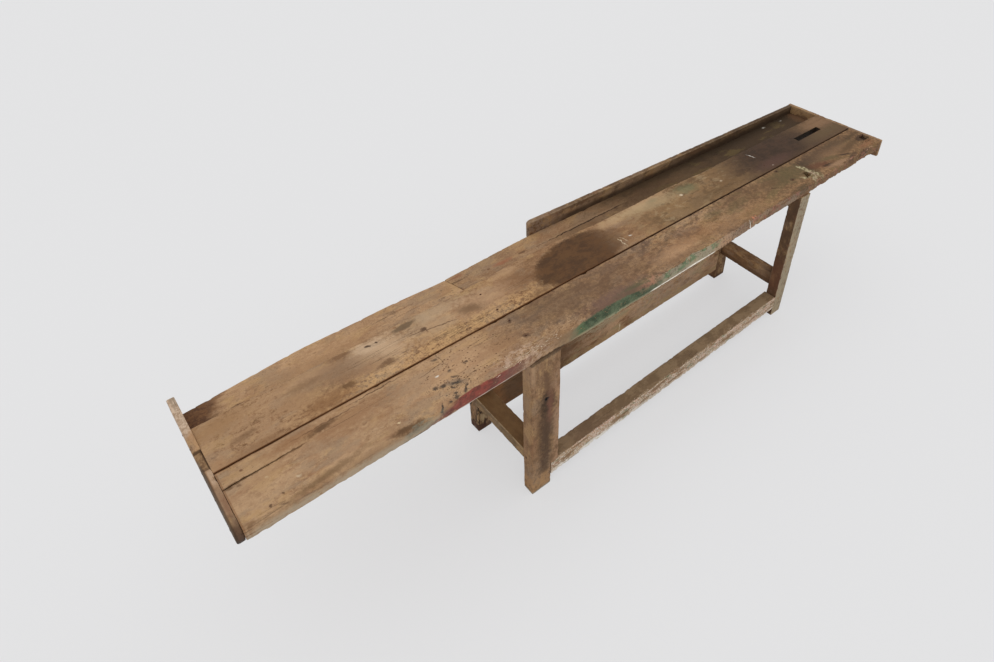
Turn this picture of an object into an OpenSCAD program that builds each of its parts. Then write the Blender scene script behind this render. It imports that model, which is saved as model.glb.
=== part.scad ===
// A long joiner's bench. Two heavy planks lie side by side on a pegged frame
// of four legs and reach far past it at both ends. A tool tray runs behind
// them. The floor is z = 0, +X runs along the bench to the right, and the
// origin lies on the floor under the middle of the bench. Millimetres.

/* [Whole bench] */
// Length over the two end boards
bench_l = 3255; // [2950:5:3600]
// Height of the working surface
top_z = 780; // [700:5:860]

/* [Front plank] */
// Thickness of the two planks
plank_t = 45; // [38:1:60]
// Width of the front plank at its left end
front_w_l = 211; // [195:1:230]
// Width of the front plank at its right end
front_w_r = 181; // [165:1:210]
// How far the front edge falls back at the right end
front_back_r = 10; // [0:1:20]
// Radius worn on the front upper arris
arris_r = 14; // [6:1:20]
// Height of the worn slope below the upper arris
wear_h = 42; // [34:1:60]
// Gap that has opened between the left end board and the front plank
shrink_gap = 2.5; // [0.5:0.5:6]
// Length of the hollow broken out of the plank's right end
break_l = 72; // [40:1:100]
// Width of that hollow
break_w = 42; // [25:1:60]
// Depth of that hollow at the plank's end
break_depth = 16; // [8:1:24]
// Side of the three-cornered chiselled hole by the right leg
chisel_hole_s = 36; // [20:1:50]
// Depth of the chiselled hole
chisel_hole_depth = 30; // [10:1:34]

/* [Rear plank] */
// Width of the rear plank at its left end
rear_w_l = 189; // [175:1:205]
// Width of the rear plank at its right end
rear_w_r = 195; // [180:1:210]
// Open seam between the two planks
seam_gap = 5; // [2:0.5:9]
// Length of the slot cut through the rear plank
slot_l = 212; // [150:1:260]
// Width of that slot
slot_w = 32; // [20:1:45]
// Wood left between the slot and the plank's right end
slot_end = 126; // [90:1:200]
// Wood left between the slot and the seam
slot_side = 85; // [60:1:110]

/* [End boards] */
// Height of the two end boards
end_h = 93; // [80:1:120]
// Thickness of the left end board
end_l_t = 22; // [16:1:30]
// Thickness of the right end board
end_r_t = 20; // [16:1:30]
// Radius of the left board's rounded lower front corner
end_corner_r = 74; // [20:1:80]
// How far the left board's front end stands back from the planks' corner
end_l_front = 5; // [0:1:12]
// How far the left end board reaches past the tray floor
end_l_over = 29; // [10:1:50]
// Rise of the left board's rear part above the planks
end_rise = 11; // [4:1:20]
// Length of the worn dip in front of that rise
dip_l = 68; // [40:1:90]
// Depth of the dip below the plank tops
dip_depth = 5; // [2:1:10]
// Distance from the front of the legs to the right end board
end_r_front = 14; // [4:1:20]
// Skew of the right end, in degrees
end_skew = 2.9; // [0:0.1:4]

/* [Tool tray] */
// Thickness of the tray floor
floor_t = 20; // [16:1:26]
// Smallest reach of the tray floor under the rear plank
floor_lap = 15; // [10:1:22]
// Width of the tray floor where the rail begins
tray_w_l = 187; // [165:1:210]
// Width of the tray floor at the right end
tray_w_r = 164; // [145:1:185]
// Width of the left floor board at the left end board
floor_end_w = 143; // [120:1:160]
// Width of the left floor board along its middle
floor_mid_w = 174; // [165:1:190]
// Width of both floor boards at their butt joint
floor_joint_w = 166; // [150:1:180]
// Skew of the butt joint between the floor boards, in degrees
joint_skew = 15.6; // [0:0.2:20]
// Thickness of the tray rail
rail_t = 22; // [16:1:30]
// Distance from the left end of the bench to the rail's free end
rail_start = 1370; // [1200:5:1700]
// Height of the rail at its free end
rail_h_l = 80; // [65:1:100]
// Height of the rail at the right end board
rail_h_r = 61; // [55:1:80]

/* [Legs] */
// Distance from the left end of the bench to the middle of the left frame
left_frame_x = 982; // [900:2:1060]
// Distance from the right end of the bench to the middle of the right frame
right_frame_in = 705; // [620:5:800]
// Width of the front left leg
leg_fl_w = 128; // [116:1:150]
// Width left at its foot beside the rebate
foot_w = 91; // [84:1:108]
// Distance from the frame's middle out to the leg's outer face
leg_fl_out = 42; // [36:1:46]
// Depth of the front left leg, front to back
leg_fl_d = 53; // [48:1:64]
// Width of the rear left leg
leg_rl_w = 67; // [60:1:80]
// Width of the front right leg
leg_fr_w = 73; // [62:1:90]
// Depth of the front right leg
leg_fr_d = 57; // [50:1:66]
// Width of the rear right leg
leg_rr_w = 80; // [64:1:90]
// Depth of the two rear legs
leg_rear_d = 57; // [50:1:66]
// Diameter of the old bolt hole in the front left leg
leg_hole_d = 9; // [6:0.5:12]
// Height of that hole above the floor
leg_hole_z = 517; // [400:1:600]

/* [Rails of the frame] */
// Width of the hidden bearers under the planks
bearer_w = 60; // [50:1:62]
// Height of the bearers
bearer_h = 80; // [65:1:100]
// Width of the left end stretcher
end_str_l_w = 75; // [56:1:80]
// Height of the left end stretcher
end_str_l_h = 52; // [46:1:60]
// Underside of the left end stretcher above the floor
end_str_l_z = 172; // [170:1:300]
// Width of the right end stretcher
end_str_r_w = 54; // [44:1:60]
// Height of the right end stretcher
end_str_r_h = 72; // [56:1:80]
// Underside of the right end stretcher above the floor
end_str_r_z = 170; // [168:1:300]
// Depth of the front stretcher, front to back
front_str_d = 66; // [52:1:76]
// Height of the front stretcher
front_str_h = 75; // [62:1:85]
// Underside of the front stretcher above the floor
front_str_z = 48; // [30:1:60]
// Thickness of the rear stretcher
rear_str_t = 40; // [34:1:46]
// Height of the rear stretcher
rear_str_h = 130; // [100:1:134]
// Underside of the rear stretcher above the floor
rear_str_z = 64; // [45:1:66]

/* [Joints and nails] */
// Thickness of every tenon
tenon_t = 24; // [18:1:28]
// Length of every tenon
tenon_l = 34; // [24:1:38]
// Shoulder above and below the tenons of bearers and end stretchers
shoulder = 9; // [6:1:14]
// Height of the long stretchers' tenons
long_tenon_h = 48; // [36:1:54]
// Slack of a tenon in its mortise, all round and at its end
joint_slack = 0.3; // [0.1:0.1:0.8]
// Diameter of the draw pegs
peg_d = 10; // [8:0.5:12]
// Wood that a peg reaches beyond the tenon
peg_past = 11; // [6:1:14]
// Diameter of the nail shanks
nail_d = 4.4; // [3:0.2:5]
// Diameter of the nail heads
nail_head_d = 9; // [7:0.5:10]
// Thickness of the nail heads
nail_head_t = 2; // [1.5:0.5:3]
// Reach of a nail in the second piece
nail_reach = 28; // [20:1:32]
// Slack round pegs and nails
hole_slack = 0.15; // [0.1:0.05:0.3]

/* [Hidden] */
$fn = 48;

// Overrun of a cutting shape past the face that it opens
over = 1;
// Size of a cutting shape that only has to be larger than what it cuts
big = 2000;

// Heights
plank_z = top_z - plank_t;
floor_z = plank_z - floor_t;
end_z = top_z - end_h;

// Lines across the plan. Every y counts from the front face of the legs
seam_l = front_w_l;
seam_r = front_back_r + front_w_r;
rear_l = seam_l + seam_gap + rear_w_l;
rear_r = seam_r + seam_gap + rear_w_r;
tray_y = min(rear_l, rear_r) - floor_lap;
leg_rear_y = tray_y - joint_slack;
bench_d = tray_y + tray_w_l + rail_t;
end_l_depth = tray_y + floor_end_w + end_l_over;

// The right end board's inner face, which is skewed in plan
function right_x(y) = bench_l - end_r_t / cos(end_skew) - (y - end_r_front) * tan(end_skew);
// Straight line between the left and the right end of the bench
function between(y_l, y_r, x) = y_l + (y_r - y_l) * (x - end_l_t) / (bench_l - end_r_t - end_l_t);
function rail_y(x) = tray_y + tray_w_l + (tray_w_r - tray_w_l) * (x - rail_start) / (bench_l - end_r_t - rail_start);

// The two leg frames
right_frame_x = bench_l - right_frame_in;
leg_fl_x = left_frame_x - leg_fl_out;
leg_rl_x = left_frame_x - leg_rl_w / 2;
leg_fr_x = right_frame_x - leg_fr_w / 2;
leg_rr_x = right_frame_x - leg_rr_w / 2;
frame_end_y = leg_rear_y + leg_rear_d;
front_str_top = front_str_z + front_str_h;
long_str_x0 = leg_rl_x + leg_rl_w;
foot_x = leg_fl_x + foot_w;
bearer_z = plank_z - bearer_h;
tenon_z_front = front_str_z + (front_str_h - long_tenon_h) / 2;
tenon_z_rear = rear_str_z + (rear_str_h - long_tenon_h) / 2;

// The butt joint of the tray floor lies over the rear left leg
joint_mid_y = leg_rear_y + leg_rear_d / 2;
joint_x0 = left_frame_x + 6;
function joint_x(y) = joint_x0 - (y - joint_mid_y) * tan(joint_skew);

// Hollows worn in the front arris: place along the bench, length and depth
worn = [[0.218, 150, 6], [0.402, 415, 24], [0.541, 130, 11], [0.66, 260, 7], [0.9, 230, 11], [0.966, 96, 8]];
// Waney rear edge of the rear plank: share of its length and bulge
wane = [[0.14, 2], [0.28, 7], [0.34, 16], [0.4, 24], [0.45, 17], [0.5, 9], [0.63, 12], [0.7, 0], [0.85, 2]];

// Nails through the planks into the bearers, as shares of the bearers' depth
slab_nail_y = [0.09, 0.38, 0.6, 0.92];
// Nails through the end boards, as shares of each plank's width
end_nail_share = [0.2, 0.72];
// Nails through the tray rail, as shares of its length
rail_nail_share = [0.02, 0.2, 0.4, 0.6, 0.8, 0.97];
// Nails from the tray floor up into the rear plank, as shares of the bench
lap_nail_share = [0.05, 0.16, 0.26, 0.35, 0.48, 0.6, 0.72, 0.9];

oak = "#8f7358";
oak_dark = "#6f573f";
oak_pale = "#a58a6c";
iron = "#3a332e";

// Moves a piece from the corner of the plan to the middle
module place() {
    translate([-bench_l / 2, -bench_d / 2, 0]) children();
}

// A cut nail lying along -Z with the top of its head at z = 0
module nail(reach, slack = 0) {
    translate([0, 0, -nail_head_t - slack])
        cylinder(d = nail_head_d + 2 * slack, h = nail_head_t + slack + (slack > 0 ? over : 0));
    translate([0, 0, -reach - slack]) cylinder(d = nail_d + 2 * slack, h = reach + slack);
}

module nail_hole(reach) {
    nail(reach, hole_slack);
}

// A peg that lies along +X from the origin
module peg(length, slack = 0) {
    rotate([0, 90, 0]) translate([0, 0, slack > 0 ? -over : 0])
        cylinder(d = peg_d + 2 * slack, h = length + slack + (slack > 0 ? over : 0));
}

// Places each child where a nail goes down into a bearer
module at_slab_nails() {
    for (x = [left_frame_x, right_frame_x], s = slab_nail_y)
        translate([x, leg_fr_d + s * (leg_rear_y - leg_fr_d), top_z]) children();
}

// Frame of the right end board: -X is inward, +Y runs along the board
module at_right_end() {
    translate([bench_l, end_r_front, 0]) rotate([0, 0, end_skew]) children();
}

end_nail_y_l = concat(
    [for (s = end_nail_share) s * front_w_l],
    [for (s = end_nail_share) seam_l + seam_gap + s * rear_w_l]);
end_nail_y_r = concat(
    [for (s = end_nail_share) front_back_r + s * front_w_r],
    [for (s = end_nail_share) seam_r + seam_gap + s * rear_w_r]);

module at_left_end_nails() {
    for (y = end_nail_y_l)
        translate([0, y, top_z - plank_t / 2]) rotate([0, -90, 0]) children();
    translate([0, tray_y + floor_end_w / 2, plank_z - floor_t / 2]) rotate([0, -90, 0]) children();
}

module at_right_end_nails() {
    at_right_end() {
        for (y = end_nail_y_r)
            translate([0, y - end_r_front, top_z - plank_t / 2]) rotate([0, 90, 0]) children();
        translate([0, tray_y + tray_w_r / 2 - end_r_front, plank_z - floor_t / 2])
            rotate([0, 90, 0]) children();
    }
}

// Nails along +Y through the rail into the edge of the tray floor
module at_rail_nails() {
    rail_x1 = right_x(rail_y(bench_l));
    for (s = rail_nail_share) {
        x = rail_start + s * (rail_x1 - rail_start);
        translate([x, rail_y(x) + rail_t, plank_z - floor_t / 2]) rotate([-90, 0, 0]) children();
    }
}

// Nails up through the tray floor's lap into the rear plank
module at_lap_nails() {
    for (s = lap_nail_share)
        translate([s * bench_l, tray_y + floor_lap / 2, floor_z]) rotate([180, 0, 0]) children();
}

// Nails down through the tray floor into the tops of the rear legs
module at_leg_nails() {
    for (x = [left_frame_x - 16, left_frame_x + 22, right_frame_x])
        translate([x, frame_end_y - leg_rear_d * 0.24, plank_z]) children();
}

// Wears round the upper edge that runs along +X from the origin. The arc is
// flatter than a quarter circle and meets both faces at a small angle
module arris_cut(length, r) {
    flat_r = 1.4 * r;
    mid = r / 2 + sqrt((flat_r * flat_r - r * r / 2) / 2);
    difference() {
        translate([-over, -over, -r]) cube([length + 2 * over, r + over, r + over]);
        translate([-2 * over, mid, -mid]) rotate([0, 90, 0])
            cylinder(r = flat_r, h = length + 4 * over, $fn = 96);
    }
}

// One shallow hollow worn across the front arris. Its wall is a wide
// cylinder that leans back, so the upper edge is worn most
module worn_hollow(length, depth) {
    r = (length * length / 4 + depth * depth) / (2 * depth);
    run_out = 12;
    intersection() {
        rotate([-atan(depth / wear_h), 0, 0])
            translate([0, -r, 0]) cylinder(r = r, h = 4 * wear_h, center = true, $fn = 720);
        translate([-length / 2 - run_out, -2 * depth - front_back_r, -plank_t - over])
            cube([length + 2 * run_out, 4 * depth + front_back_r, plank_t + 2 * over]);
    }
}

module front_slab() {
    x0 = end_l_t + shrink_gap;
    x1 = right_x(front_back_r);
    edge_l = norm([x1 - x0, front_back_r]);
    hole_x = right_frame_x + leg_fr_w / 2 + 34;
    break_y = front_back_r + 0.36 * front_w_r;
    color(oak)
    place() difference() {
        translate([0, 0, plank_z]) linear_extrude(plank_t)
            polygon([[x0, 0], [x1, front_back_r], [right_x(seam_r), seam_r], [x0, seam_l]]);
        translate([x0, 0, top_z]) rotate([0, 0, atan(front_back_r / (x1 - x0))])
            arris_cut(edge_l, arris_r);
        for (w = worn)
            translate([w[0] * bench_l, between(0, front_back_r, w[0] * bench_l) + w[2], top_z])
                worn_hollow(w[1], w[2]);
        // Three-cornered hole chiselled near the right leg
        translate([hole_x, front_back_r + 0.22 * front_w_r, top_z - chisel_hole_depth])
            linear_extrude(chisel_hole_depth + over)
                polygon([[0, 0], [chisel_hole_s * 0.9, 4], [chisel_hole_s * 0.2, chisel_hole_s]]);
        // Hollow broken out against the right end board
        at_right_end() translate([-end_r_t - break_l, break_y, top_z])
            rotate([0, atan(break_depth / break_l), 0])
                cube([2 * break_l, break_w, 2 * break_depth]);
        at_slab_nails() nail_hole(plank_t + nail_reach);
        at_left_end_nails() nail_hole(end_l_t + nail_reach + shrink_gap);
        at_right_end_nails() nail_hole(end_r_t + nail_reach);
    }
}

module rear_slab() {
    x0 = end_l_t;
    run = right_x(rear_r) - x0;
    color(oak)
    place() difference() {
        translate([0, 0, plank_z]) linear_extrude(plank_t)
            polygon(concat(
                [[x0, seam_l + seam_gap], [right_x(seam_r + seam_gap), seam_r + seam_gap],
                 [right_x(rear_r), rear_r]],
                [for (i = [len(wane) - 1 : -1 : 0])
                    [x0 + wane[i][0] * run, rear_l + wane[i][0] * (rear_r - rear_l) + wane[i][1]]],
                [[x0, rear_l]]));
        translate([right_x(seam_r) - slot_end - slot_l, seam_r + seam_gap + slot_side, plank_z - over])
            cube([slot_l, slot_w, plank_t + 2 * over]);
        at_slab_nails() nail_hole(plank_t + nail_reach);
        at_left_end_nails() nail_hole(end_l_t + nail_reach + shrink_gap);
        at_right_end_nails() nail_hole(end_r_t + nail_reach);
        at_lap_nails() nail_hole(floor_t + nail_reach);
    }
}

// The left end board: level in front, then a worn dip, then a raised tail
module left_end_board() {
    r = end_corner_r;
    y0 = end_l_front;
    dip_y1 = seam_l + seam_gap + 0.5 * rear_w_l;
    tail_y = end_l_depth;
    color(oak_pale)
    place() difference() {
        rotate([90, 0, 90]) linear_extrude(end_l_t) difference() {
            polygon([
                [y0, end_z], [tail_y, end_z], [tail_y, top_z + end_rise - 4],
                [tail_y - 6, top_z + end_rise], [dip_y1 + 3, top_z + end_rise / 2],
                [dip_y1, top_z - dip_depth], [dip_y1 - dip_l, top_z - dip_depth],
                [dip_y1 - dip_l - 4, top_z], [y0, top_z]]);
            translate([y0 - over, end_z - over]) difference() {
                square(r + over);
                translate([r + over, r + over]) circle(r, $fn = 96);
            }
        }
        at_left_end_nails() nail_hole(end_l_t + nail_reach + shrink_gap);
    }
}

module right_end_board() {
    depth = (rail_y(bench_l) + rail_t - end_r_front) / cos(end_skew);
    color(oak_dark)
    place() difference() {
        at_right_end() translate([-end_r_t, 0, end_z]) cube([end_r_t, depth, end_h]);
        at_right_end_nails() nail_hole(end_r_t + nail_reach);
    }
}

module tray_floor_left() {
    y_end = tray_y + floor_end_w;
    y_mid = tray_y + floor_mid_w;
    y_joint = tray_y + floor_joint_w;
    color(oak)
    place() difference() {
        translate([0, 0, floor_z]) linear_extrude(floor_t)
            polygon([
                [end_l_t, tray_y], [joint_x(tray_y), tray_y], [joint_x(y_joint), y_joint],
                [0.8 * left_frame_x, y_mid], [0.41 * left_frame_x, y_mid - 1], [end_l_t, y_end]]);
        at_left_end_nails() nail_hole(end_l_t + nail_reach + shrink_gap);
        at_lap_nails() nail_hole(floor_t + nail_reach);
        at_leg_nails() nail_hole(floor_t + nail_reach);
    }
}

module tray_floor_right() {
    y_joint = tray_y + floor_joint_w;
    kerf = 1.5;
    rail_end_y = rail_y(right_x(rail_y(bench_l)));
    color(oak_dark)
    place() difference() {
        translate([0, 0, floor_z]) linear_extrude(floor_t)
            polygon([
                [joint_x(tray_y) + kerf, tray_y], [right_x(tray_y), tray_y],
                [right_x(rail_end_y), rail_end_y], [rail_start, rail_y(rail_start)],
                [joint_x(y_joint) + kerf, y_joint]]);
        at_right_end_nails() nail_hole(end_r_t + nail_reach);
        at_lap_nails() nail_hole(floor_t + nail_reach);
        at_leg_nails() nail_hole(floor_t + nail_reach);
        at_rail_nails() nail_hole(rail_t + nail_reach);
    }
}

// The rail stands on edge behind the tray and tapers to the right
module tray_rail() {
    y0 = rail_y(rail_start);
    y1 = rail_y(right_x(rail_y(bench_l)));
    x1 = right_x(y1);
    color(oak_dark)
    place() difference() {
        intersection() {
            translate([0, 0, floor_z]) linear_extrude(max(rail_h_l, rail_h_r))
                polygon([[rail_start, y0], [x1, y1], [right_x(y1 + rail_t), y1 + rail_t],
                    [rail_start, y0 + rail_t]]);
            translate([0, big, 0]) rotate([90, 0, 0]) linear_extrude(2 * big)
                polygon([
                    [rail_start + 5, floor_z], [x1 + big, floor_z], [x1 + big, floor_z + rail_h_r],
                    [x1, floor_z + rail_h_r], [rail_start + 8, floor_z + rail_h_l],
                    [rail_start, floor_z + rail_h_l - 7]]);
        }
        at_rail_nails() nail_hole(rail_t + nail_reach);
    }
}

// A blank leg with its lower outer corner on the floor at the origin
module leg_blank(w, d, h) {
    cube([w, d, h]);
}

// The tenon of a rail that runs along Y: its middle in X is the origin's,
// and its root is at y = 0. Slack turns it into the mortise
module cross_tenon(h, slack = 0) {
    translate([-tenon_t / 2 - slack, slack > 0 ? -over : 0, shoulder - slack])
        cube([tenon_t + 2 * slack, tenon_l + slack + (slack > 0 ? over : 0), h - 2 * shoulder + 2 * slack]);
}

// The tenon of a long stretcher, which runs along X from its root at x = 0
module long_tenon(slack = 0) {
    translate([slack > 0 ? -over : 0, -tenon_t / 2 - slack, -slack])
        cube([tenon_l + slack + (slack > 0 ? over : 0), tenon_t + 2 * slack, long_tenon_h + 2 * slack]);
}

// Tenons into a front leg point to -Y and those into a rear leg to +Y
module front_leg_cuts(frame_x, leg_d, str_z, str_h) {
    for (zh = [[bearer_z, bearer_h], [str_z, str_h]])
        translate([frame_x, leg_d, zh[0]]) mirror([0, 1, 0]) cross_tenon(zh[1], joint_slack);
}

module rear_leg_cuts(frame_x, str_z, str_h) {
    for (zh = [[bearer_z, bearer_h], [str_z, str_h]])
        translate([frame_x, leg_rear_y, zh[0]]) cross_tenon(zh[1], joint_slack);
    at_leg_nails() nail_hole(floor_t + nail_reach);
}

// Each peg's outer end is flush with the leg's outer face. Pegs through the
// cross tenons lie along X, and side is +1 for the left frame
module cross_peg(outer_x, frame_x, y, z, side, slack = 0) {
    length = abs(frame_x - outer_x) + tenon_t / 2 + peg_past;
    translate([outer_x, y, z]) rotate([0, 0, side > 0 ? 0 : 180]) peg(length, slack);
}

// Pegs through the long stretchers' tenons lie along Y, from the rear face
module long_peg(x, face_y, mid_y, z, slack = 0) {
    length = face_y - mid_y + tenon_t / 2 + peg_past / 2;
    translate([x, face_y, z]) rotate([0, 0, -90]) peg(length, slack);
}

front_tenon_y = leg_fl_d / 2;
rear_tenon_y = leg_rear_y + rear_str_t / 2;

module pegs(slack = 0) {
    grip = 0.45 * tenon_l;
    y_rear = leg_rear_y + grip;
    z_top = bearer_z + bearer_h / 2;
    z_l = end_str_l_z + end_str_l_h / 2;
    z_r = end_str_r_z + end_str_r_h / 2;
    z_front = tenon_z_front + long_tenon_h / 2;
    z_rear = tenon_z_rear + long_tenon_h / 2;
    for (z = [z_top, z_l]) {
        cross_peg(leg_fl_x, left_frame_x, leg_fl_d - grip, z, 1, slack);
        cross_peg(leg_rl_x, left_frame_x, y_rear, z, 1, slack);
    }
    for (z = [z_top, z_r]) {
        cross_peg(leg_fr_x + leg_fr_w, right_frame_x, leg_fr_d - grip, z, -1, slack);
        cross_peg(leg_rr_x + leg_rr_w, right_frame_x, y_rear, z, -1, slack);
    }
    long_peg(foot_x - grip, leg_fl_d, front_tenon_y, z_front, slack);
    long_peg(leg_fr_x + grip, leg_fr_d, front_tenon_y, z_front, slack);
    long_peg(long_str_x0 - grip, frame_end_y, rear_tenon_y, z_rear, slack);
    long_peg(leg_rr_x + grip, frame_end_y, rear_tenon_y, z_rear, slack);
}

// The wide front left leg. Its foot is cut back on the inner side, and the
// front stretcher seats in that rebate under the shoulder
module front_left_leg() {
    color(oak_pale)
    place() difference() {
        translate([leg_fl_x, 0, 0]) leg_blank(leg_fl_w, leg_fl_d, plank_z);
        translate([foot_x, -over, -over]) cube([leg_fl_w, leg_fl_d + 2 * over, front_str_top + over]);
        front_leg_cuts(left_frame_x, leg_fl_d, end_str_l_z, end_str_l_h);
        translate([foot_x, front_tenon_y, tenon_z_front]) mirror([1, 0, 0]) long_tenon(joint_slack);
        translate([leg_fl_x + leg_fl_w / 2, -over, leg_hole_z]) rotate([-90, 0, 0])
            cylinder(d = leg_hole_d, h = leg_fl_d + 2 * over);
        pegs(hole_slack);
    }
}

module rear_left_leg() {
    color(oak_dark)
    place() difference() {
        translate([leg_rl_x, leg_rear_y, 0]) leg_blank(leg_rl_w, leg_rear_d, floor_z);
        rear_leg_cuts(left_frame_x, end_str_l_z, end_str_l_h);
        translate([long_str_x0, rear_tenon_y, tenon_z_rear]) mirror([1, 0, 0]) long_tenon(joint_slack);
        pegs(hole_slack);
    }
}

module front_right_leg() {
    color(oak_pale)
    place() difference() {
        translate([leg_fr_x, 0, 0]) leg_blank(leg_fr_w, leg_fr_d, plank_z);
        front_leg_cuts(right_frame_x, leg_fr_d, end_str_r_z, end_str_r_h);
        translate([leg_fr_x, front_tenon_y, tenon_z_front]) long_tenon(joint_slack);
        pegs(hole_slack);
    }
}

module rear_right_leg() {
    color(oak_dark)
    place() difference() {
        translate([leg_rr_x, leg_rear_y, 0]) leg_blank(leg_rr_w, leg_rear_d, floor_z);
        rear_leg_cuts(right_frame_x, end_str_r_z, end_str_r_h);
        translate([leg_rr_x, rear_tenon_y, tenon_z_rear]) long_tenon(joint_slack);
        pegs(hole_slack);
    }
}

// A rail between a front and a rear leg, with a tenon at each end
module cross_rail(frame_x, y0, w, h, z) {
    translate([frame_x - w / 2, y0, z]) cube([w, leg_rear_y - y0, h]);
    translate([frame_x, y0, z]) mirror([0, 1, 0]) cross_tenon(h);
    translate([frame_x, leg_rear_y, z]) cross_tenon(h);
}

module bearer(frame_x, y0) {
    color(oak_dark)
    place() difference() {
        cross_rail(frame_x, y0, bearer_w, bearer_h, bearer_z);
        at_slab_nails() nail_hole(plank_t + nail_reach);
        pegs(hole_slack);
    }
}

module left_bearer() {
    bearer(left_frame_x, leg_fl_d);
}

module right_bearer() {
    bearer(right_frame_x, leg_fr_d);
}

module left_end_stretcher() {
    color(oak)
    place() difference() {
        cross_rail(left_frame_x, leg_fl_d, end_str_l_w, end_str_l_h, end_str_l_z);
        pegs(hole_slack);
    }
}

module right_end_stretcher() {
    color(oak)
    place() difference() {
        cross_rail(right_frame_x, leg_fr_d, end_str_r_w, end_str_r_h, end_str_r_z);
        pegs(hole_slack);
    }
}

module front_stretcher() {
    color(oak_pale)
    place() difference() {
        union() {
            translate([foot_x, 0, front_str_z]) cube([leg_fr_x - foot_x, front_str_d, front_str_h]);
            translate([foot_x, front_tenon_y, tenon_z_front]) mirror([1, 0, 0]) long_tenon();
            translate([leg_fr_x, front_tenon_y, tenon_z_front]) long_tenon();
        }
        pegs(hole_slack);
    }
}

module rear_stretcher() {
    color(oak)
    place() difference() {
        union() {
            translate([long_str_x0, leg_rear_y, rear_str_z])
                cube([leg_rr_x - long_str_x0, rear_str_t, rear_str_h]);
            translate([long_str_x0, rear_tenon_y, tenon_z_rear]) mirror([1, 0, 0]) long_tenon();
            translate([leg_rr_x, rear_tenon_y, tenon_z_rear]) long_tenon();
        }
        pegs(hole_slack);
    }
}

module slab_nails() {
    color(iron) place() at_slab_nails() nail(plank_t + nail_reach);
}

module end_board_nails() {
    color(iron) place() {
        at_left_end_nails() nail(end_l_t + nail_reach + shrink_gap);
        at_right_end_nails() nail(end_r_t + nail_reach);
    }
}

module tray_nails() {
    color(iron) place() {
        at_rail_nails() nail(rail_t + nail_reach);
        at_lap_nails() nail(floor_t + nail_reach);
        at_leg_nails() nail(floor_t + nail_reach);
    }
}

module draw_pegs() {
    color(oak_pale) place() pegs();
}

front_slab();
rear_slab();
left_end_board();
right_end_board();
tray_floor_left();
tray_floor_right();
tray_rail();
front_left_leg();
rear_left_leg();
front_right_leg();
rear_right_leg();
left_bearer();
right_bearer();
left_end_stretcher();
right_end_stretcher();
front_stretcher();
rear_stretcher();
slab_nails();
end_board_nails();
tray_nails();
draw_pegs();
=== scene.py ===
import math

import bpy
import numpy as np
from mathutils import Matrix, Vector, noise


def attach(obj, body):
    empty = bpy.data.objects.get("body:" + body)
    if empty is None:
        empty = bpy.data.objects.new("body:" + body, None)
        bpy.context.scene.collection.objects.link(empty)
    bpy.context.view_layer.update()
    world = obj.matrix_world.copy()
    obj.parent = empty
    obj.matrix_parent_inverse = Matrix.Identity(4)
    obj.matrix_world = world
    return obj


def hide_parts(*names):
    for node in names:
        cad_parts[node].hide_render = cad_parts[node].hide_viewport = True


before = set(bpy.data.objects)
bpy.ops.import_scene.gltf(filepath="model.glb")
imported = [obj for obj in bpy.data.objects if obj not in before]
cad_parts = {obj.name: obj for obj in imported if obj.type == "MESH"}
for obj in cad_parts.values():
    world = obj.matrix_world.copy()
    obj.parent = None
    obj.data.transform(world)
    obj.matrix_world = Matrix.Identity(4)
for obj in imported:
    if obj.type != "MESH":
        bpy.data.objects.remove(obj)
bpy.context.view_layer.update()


# The camera stands in front of the bench's left half, above head height, and looks down along it.
# Its place, turn and lens come from the bench's own edges. Both lengths are in picture points.
picture_width = 994
focal_length = 689.15
camera_lens = bpy.data.cameras.new("camera")
camera_lens.sensor_width = 36
camera_lens.lens = camera_lens.sensor_width * focal_length / picture_width
camera_lens.shift_x = -0.0910
camera_lens.shift_y = -0.1225
camera = bpy.data.objects.new("camera", camera_lens)
view_right = Vector((0.7422268, -0.6687787, 0.0428290))
view_up = Vector((0.3591699, 0.4509428, 0.8170970))
view_back = Vector((-0.5657705, -0.5910885, 0.5749071))
camera.matrix_world = Matrix((view_right, view_up, view_back)).transposed().to_4x4()
camera.matrix_world.translation = Vector((-1.65155, -1.52551, 2.47065))
bpy.context.scene.collection.objects.link(camera)
bpy.context.scene.camera = camera


# The studio: a pale matt floor that runs to the horizon, a pale room round it, and one very large
# soft lamp overhead, so that shadows are faint and colours show about as they are written.
class Tone:
    """One value, colour or vector in a tree of nodes. Arithmetic on it adds the Math nodes."""

    def __init__(self, net, socket):
        self.net = net
        self.socket = socket

    def math(self, operation, first, second=0.0):
        return self.net.add("ShaderNodeMath", {"operation": operation}, {0: first, 1: second})

    def __add__(self, other):
        return self.math("ADD", self, other)

    def __radd__(self, other):
        return self.math("ADD", other, self)

    def __sub__(self, other):
        return self.math("SUBTRACT", self, other)

    def __rsub__(self, other):
        return self.math("SUBTRACT", other, self)

    def __mul__(self, other):
        return self.math("MULTIPLY", self, other)

    def __truediv__(self, other):
        return self.math("DIVIDE", self, other)

    def __pow__(self, other):
        return self.math("POWER", self, other)

    def __abs__(self):
        return self.math("ABSOLUTE", self)

    def fraction(self):
        return self.math("FRACT", self)

    def most(self, other):
        return self.math("MAXIMUM", self, other)

    def ease(self, start, stop):
        """0 at start, 1 at stop, with a soft step between. Start may be the larger."""
        return self.net.add("ShaderNodeMapRange", {"interpolation_type": "SMOOTHSTEP"},
                            {"Value": self, "From Min": start, "From Max": stop})

    def band(self, start, full, fade, stop):
        """0 up to start, 1 from full to fade, and 0 again from stop on."""
        return self.ease(start, full) * self.ease(stop, fade)


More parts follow.
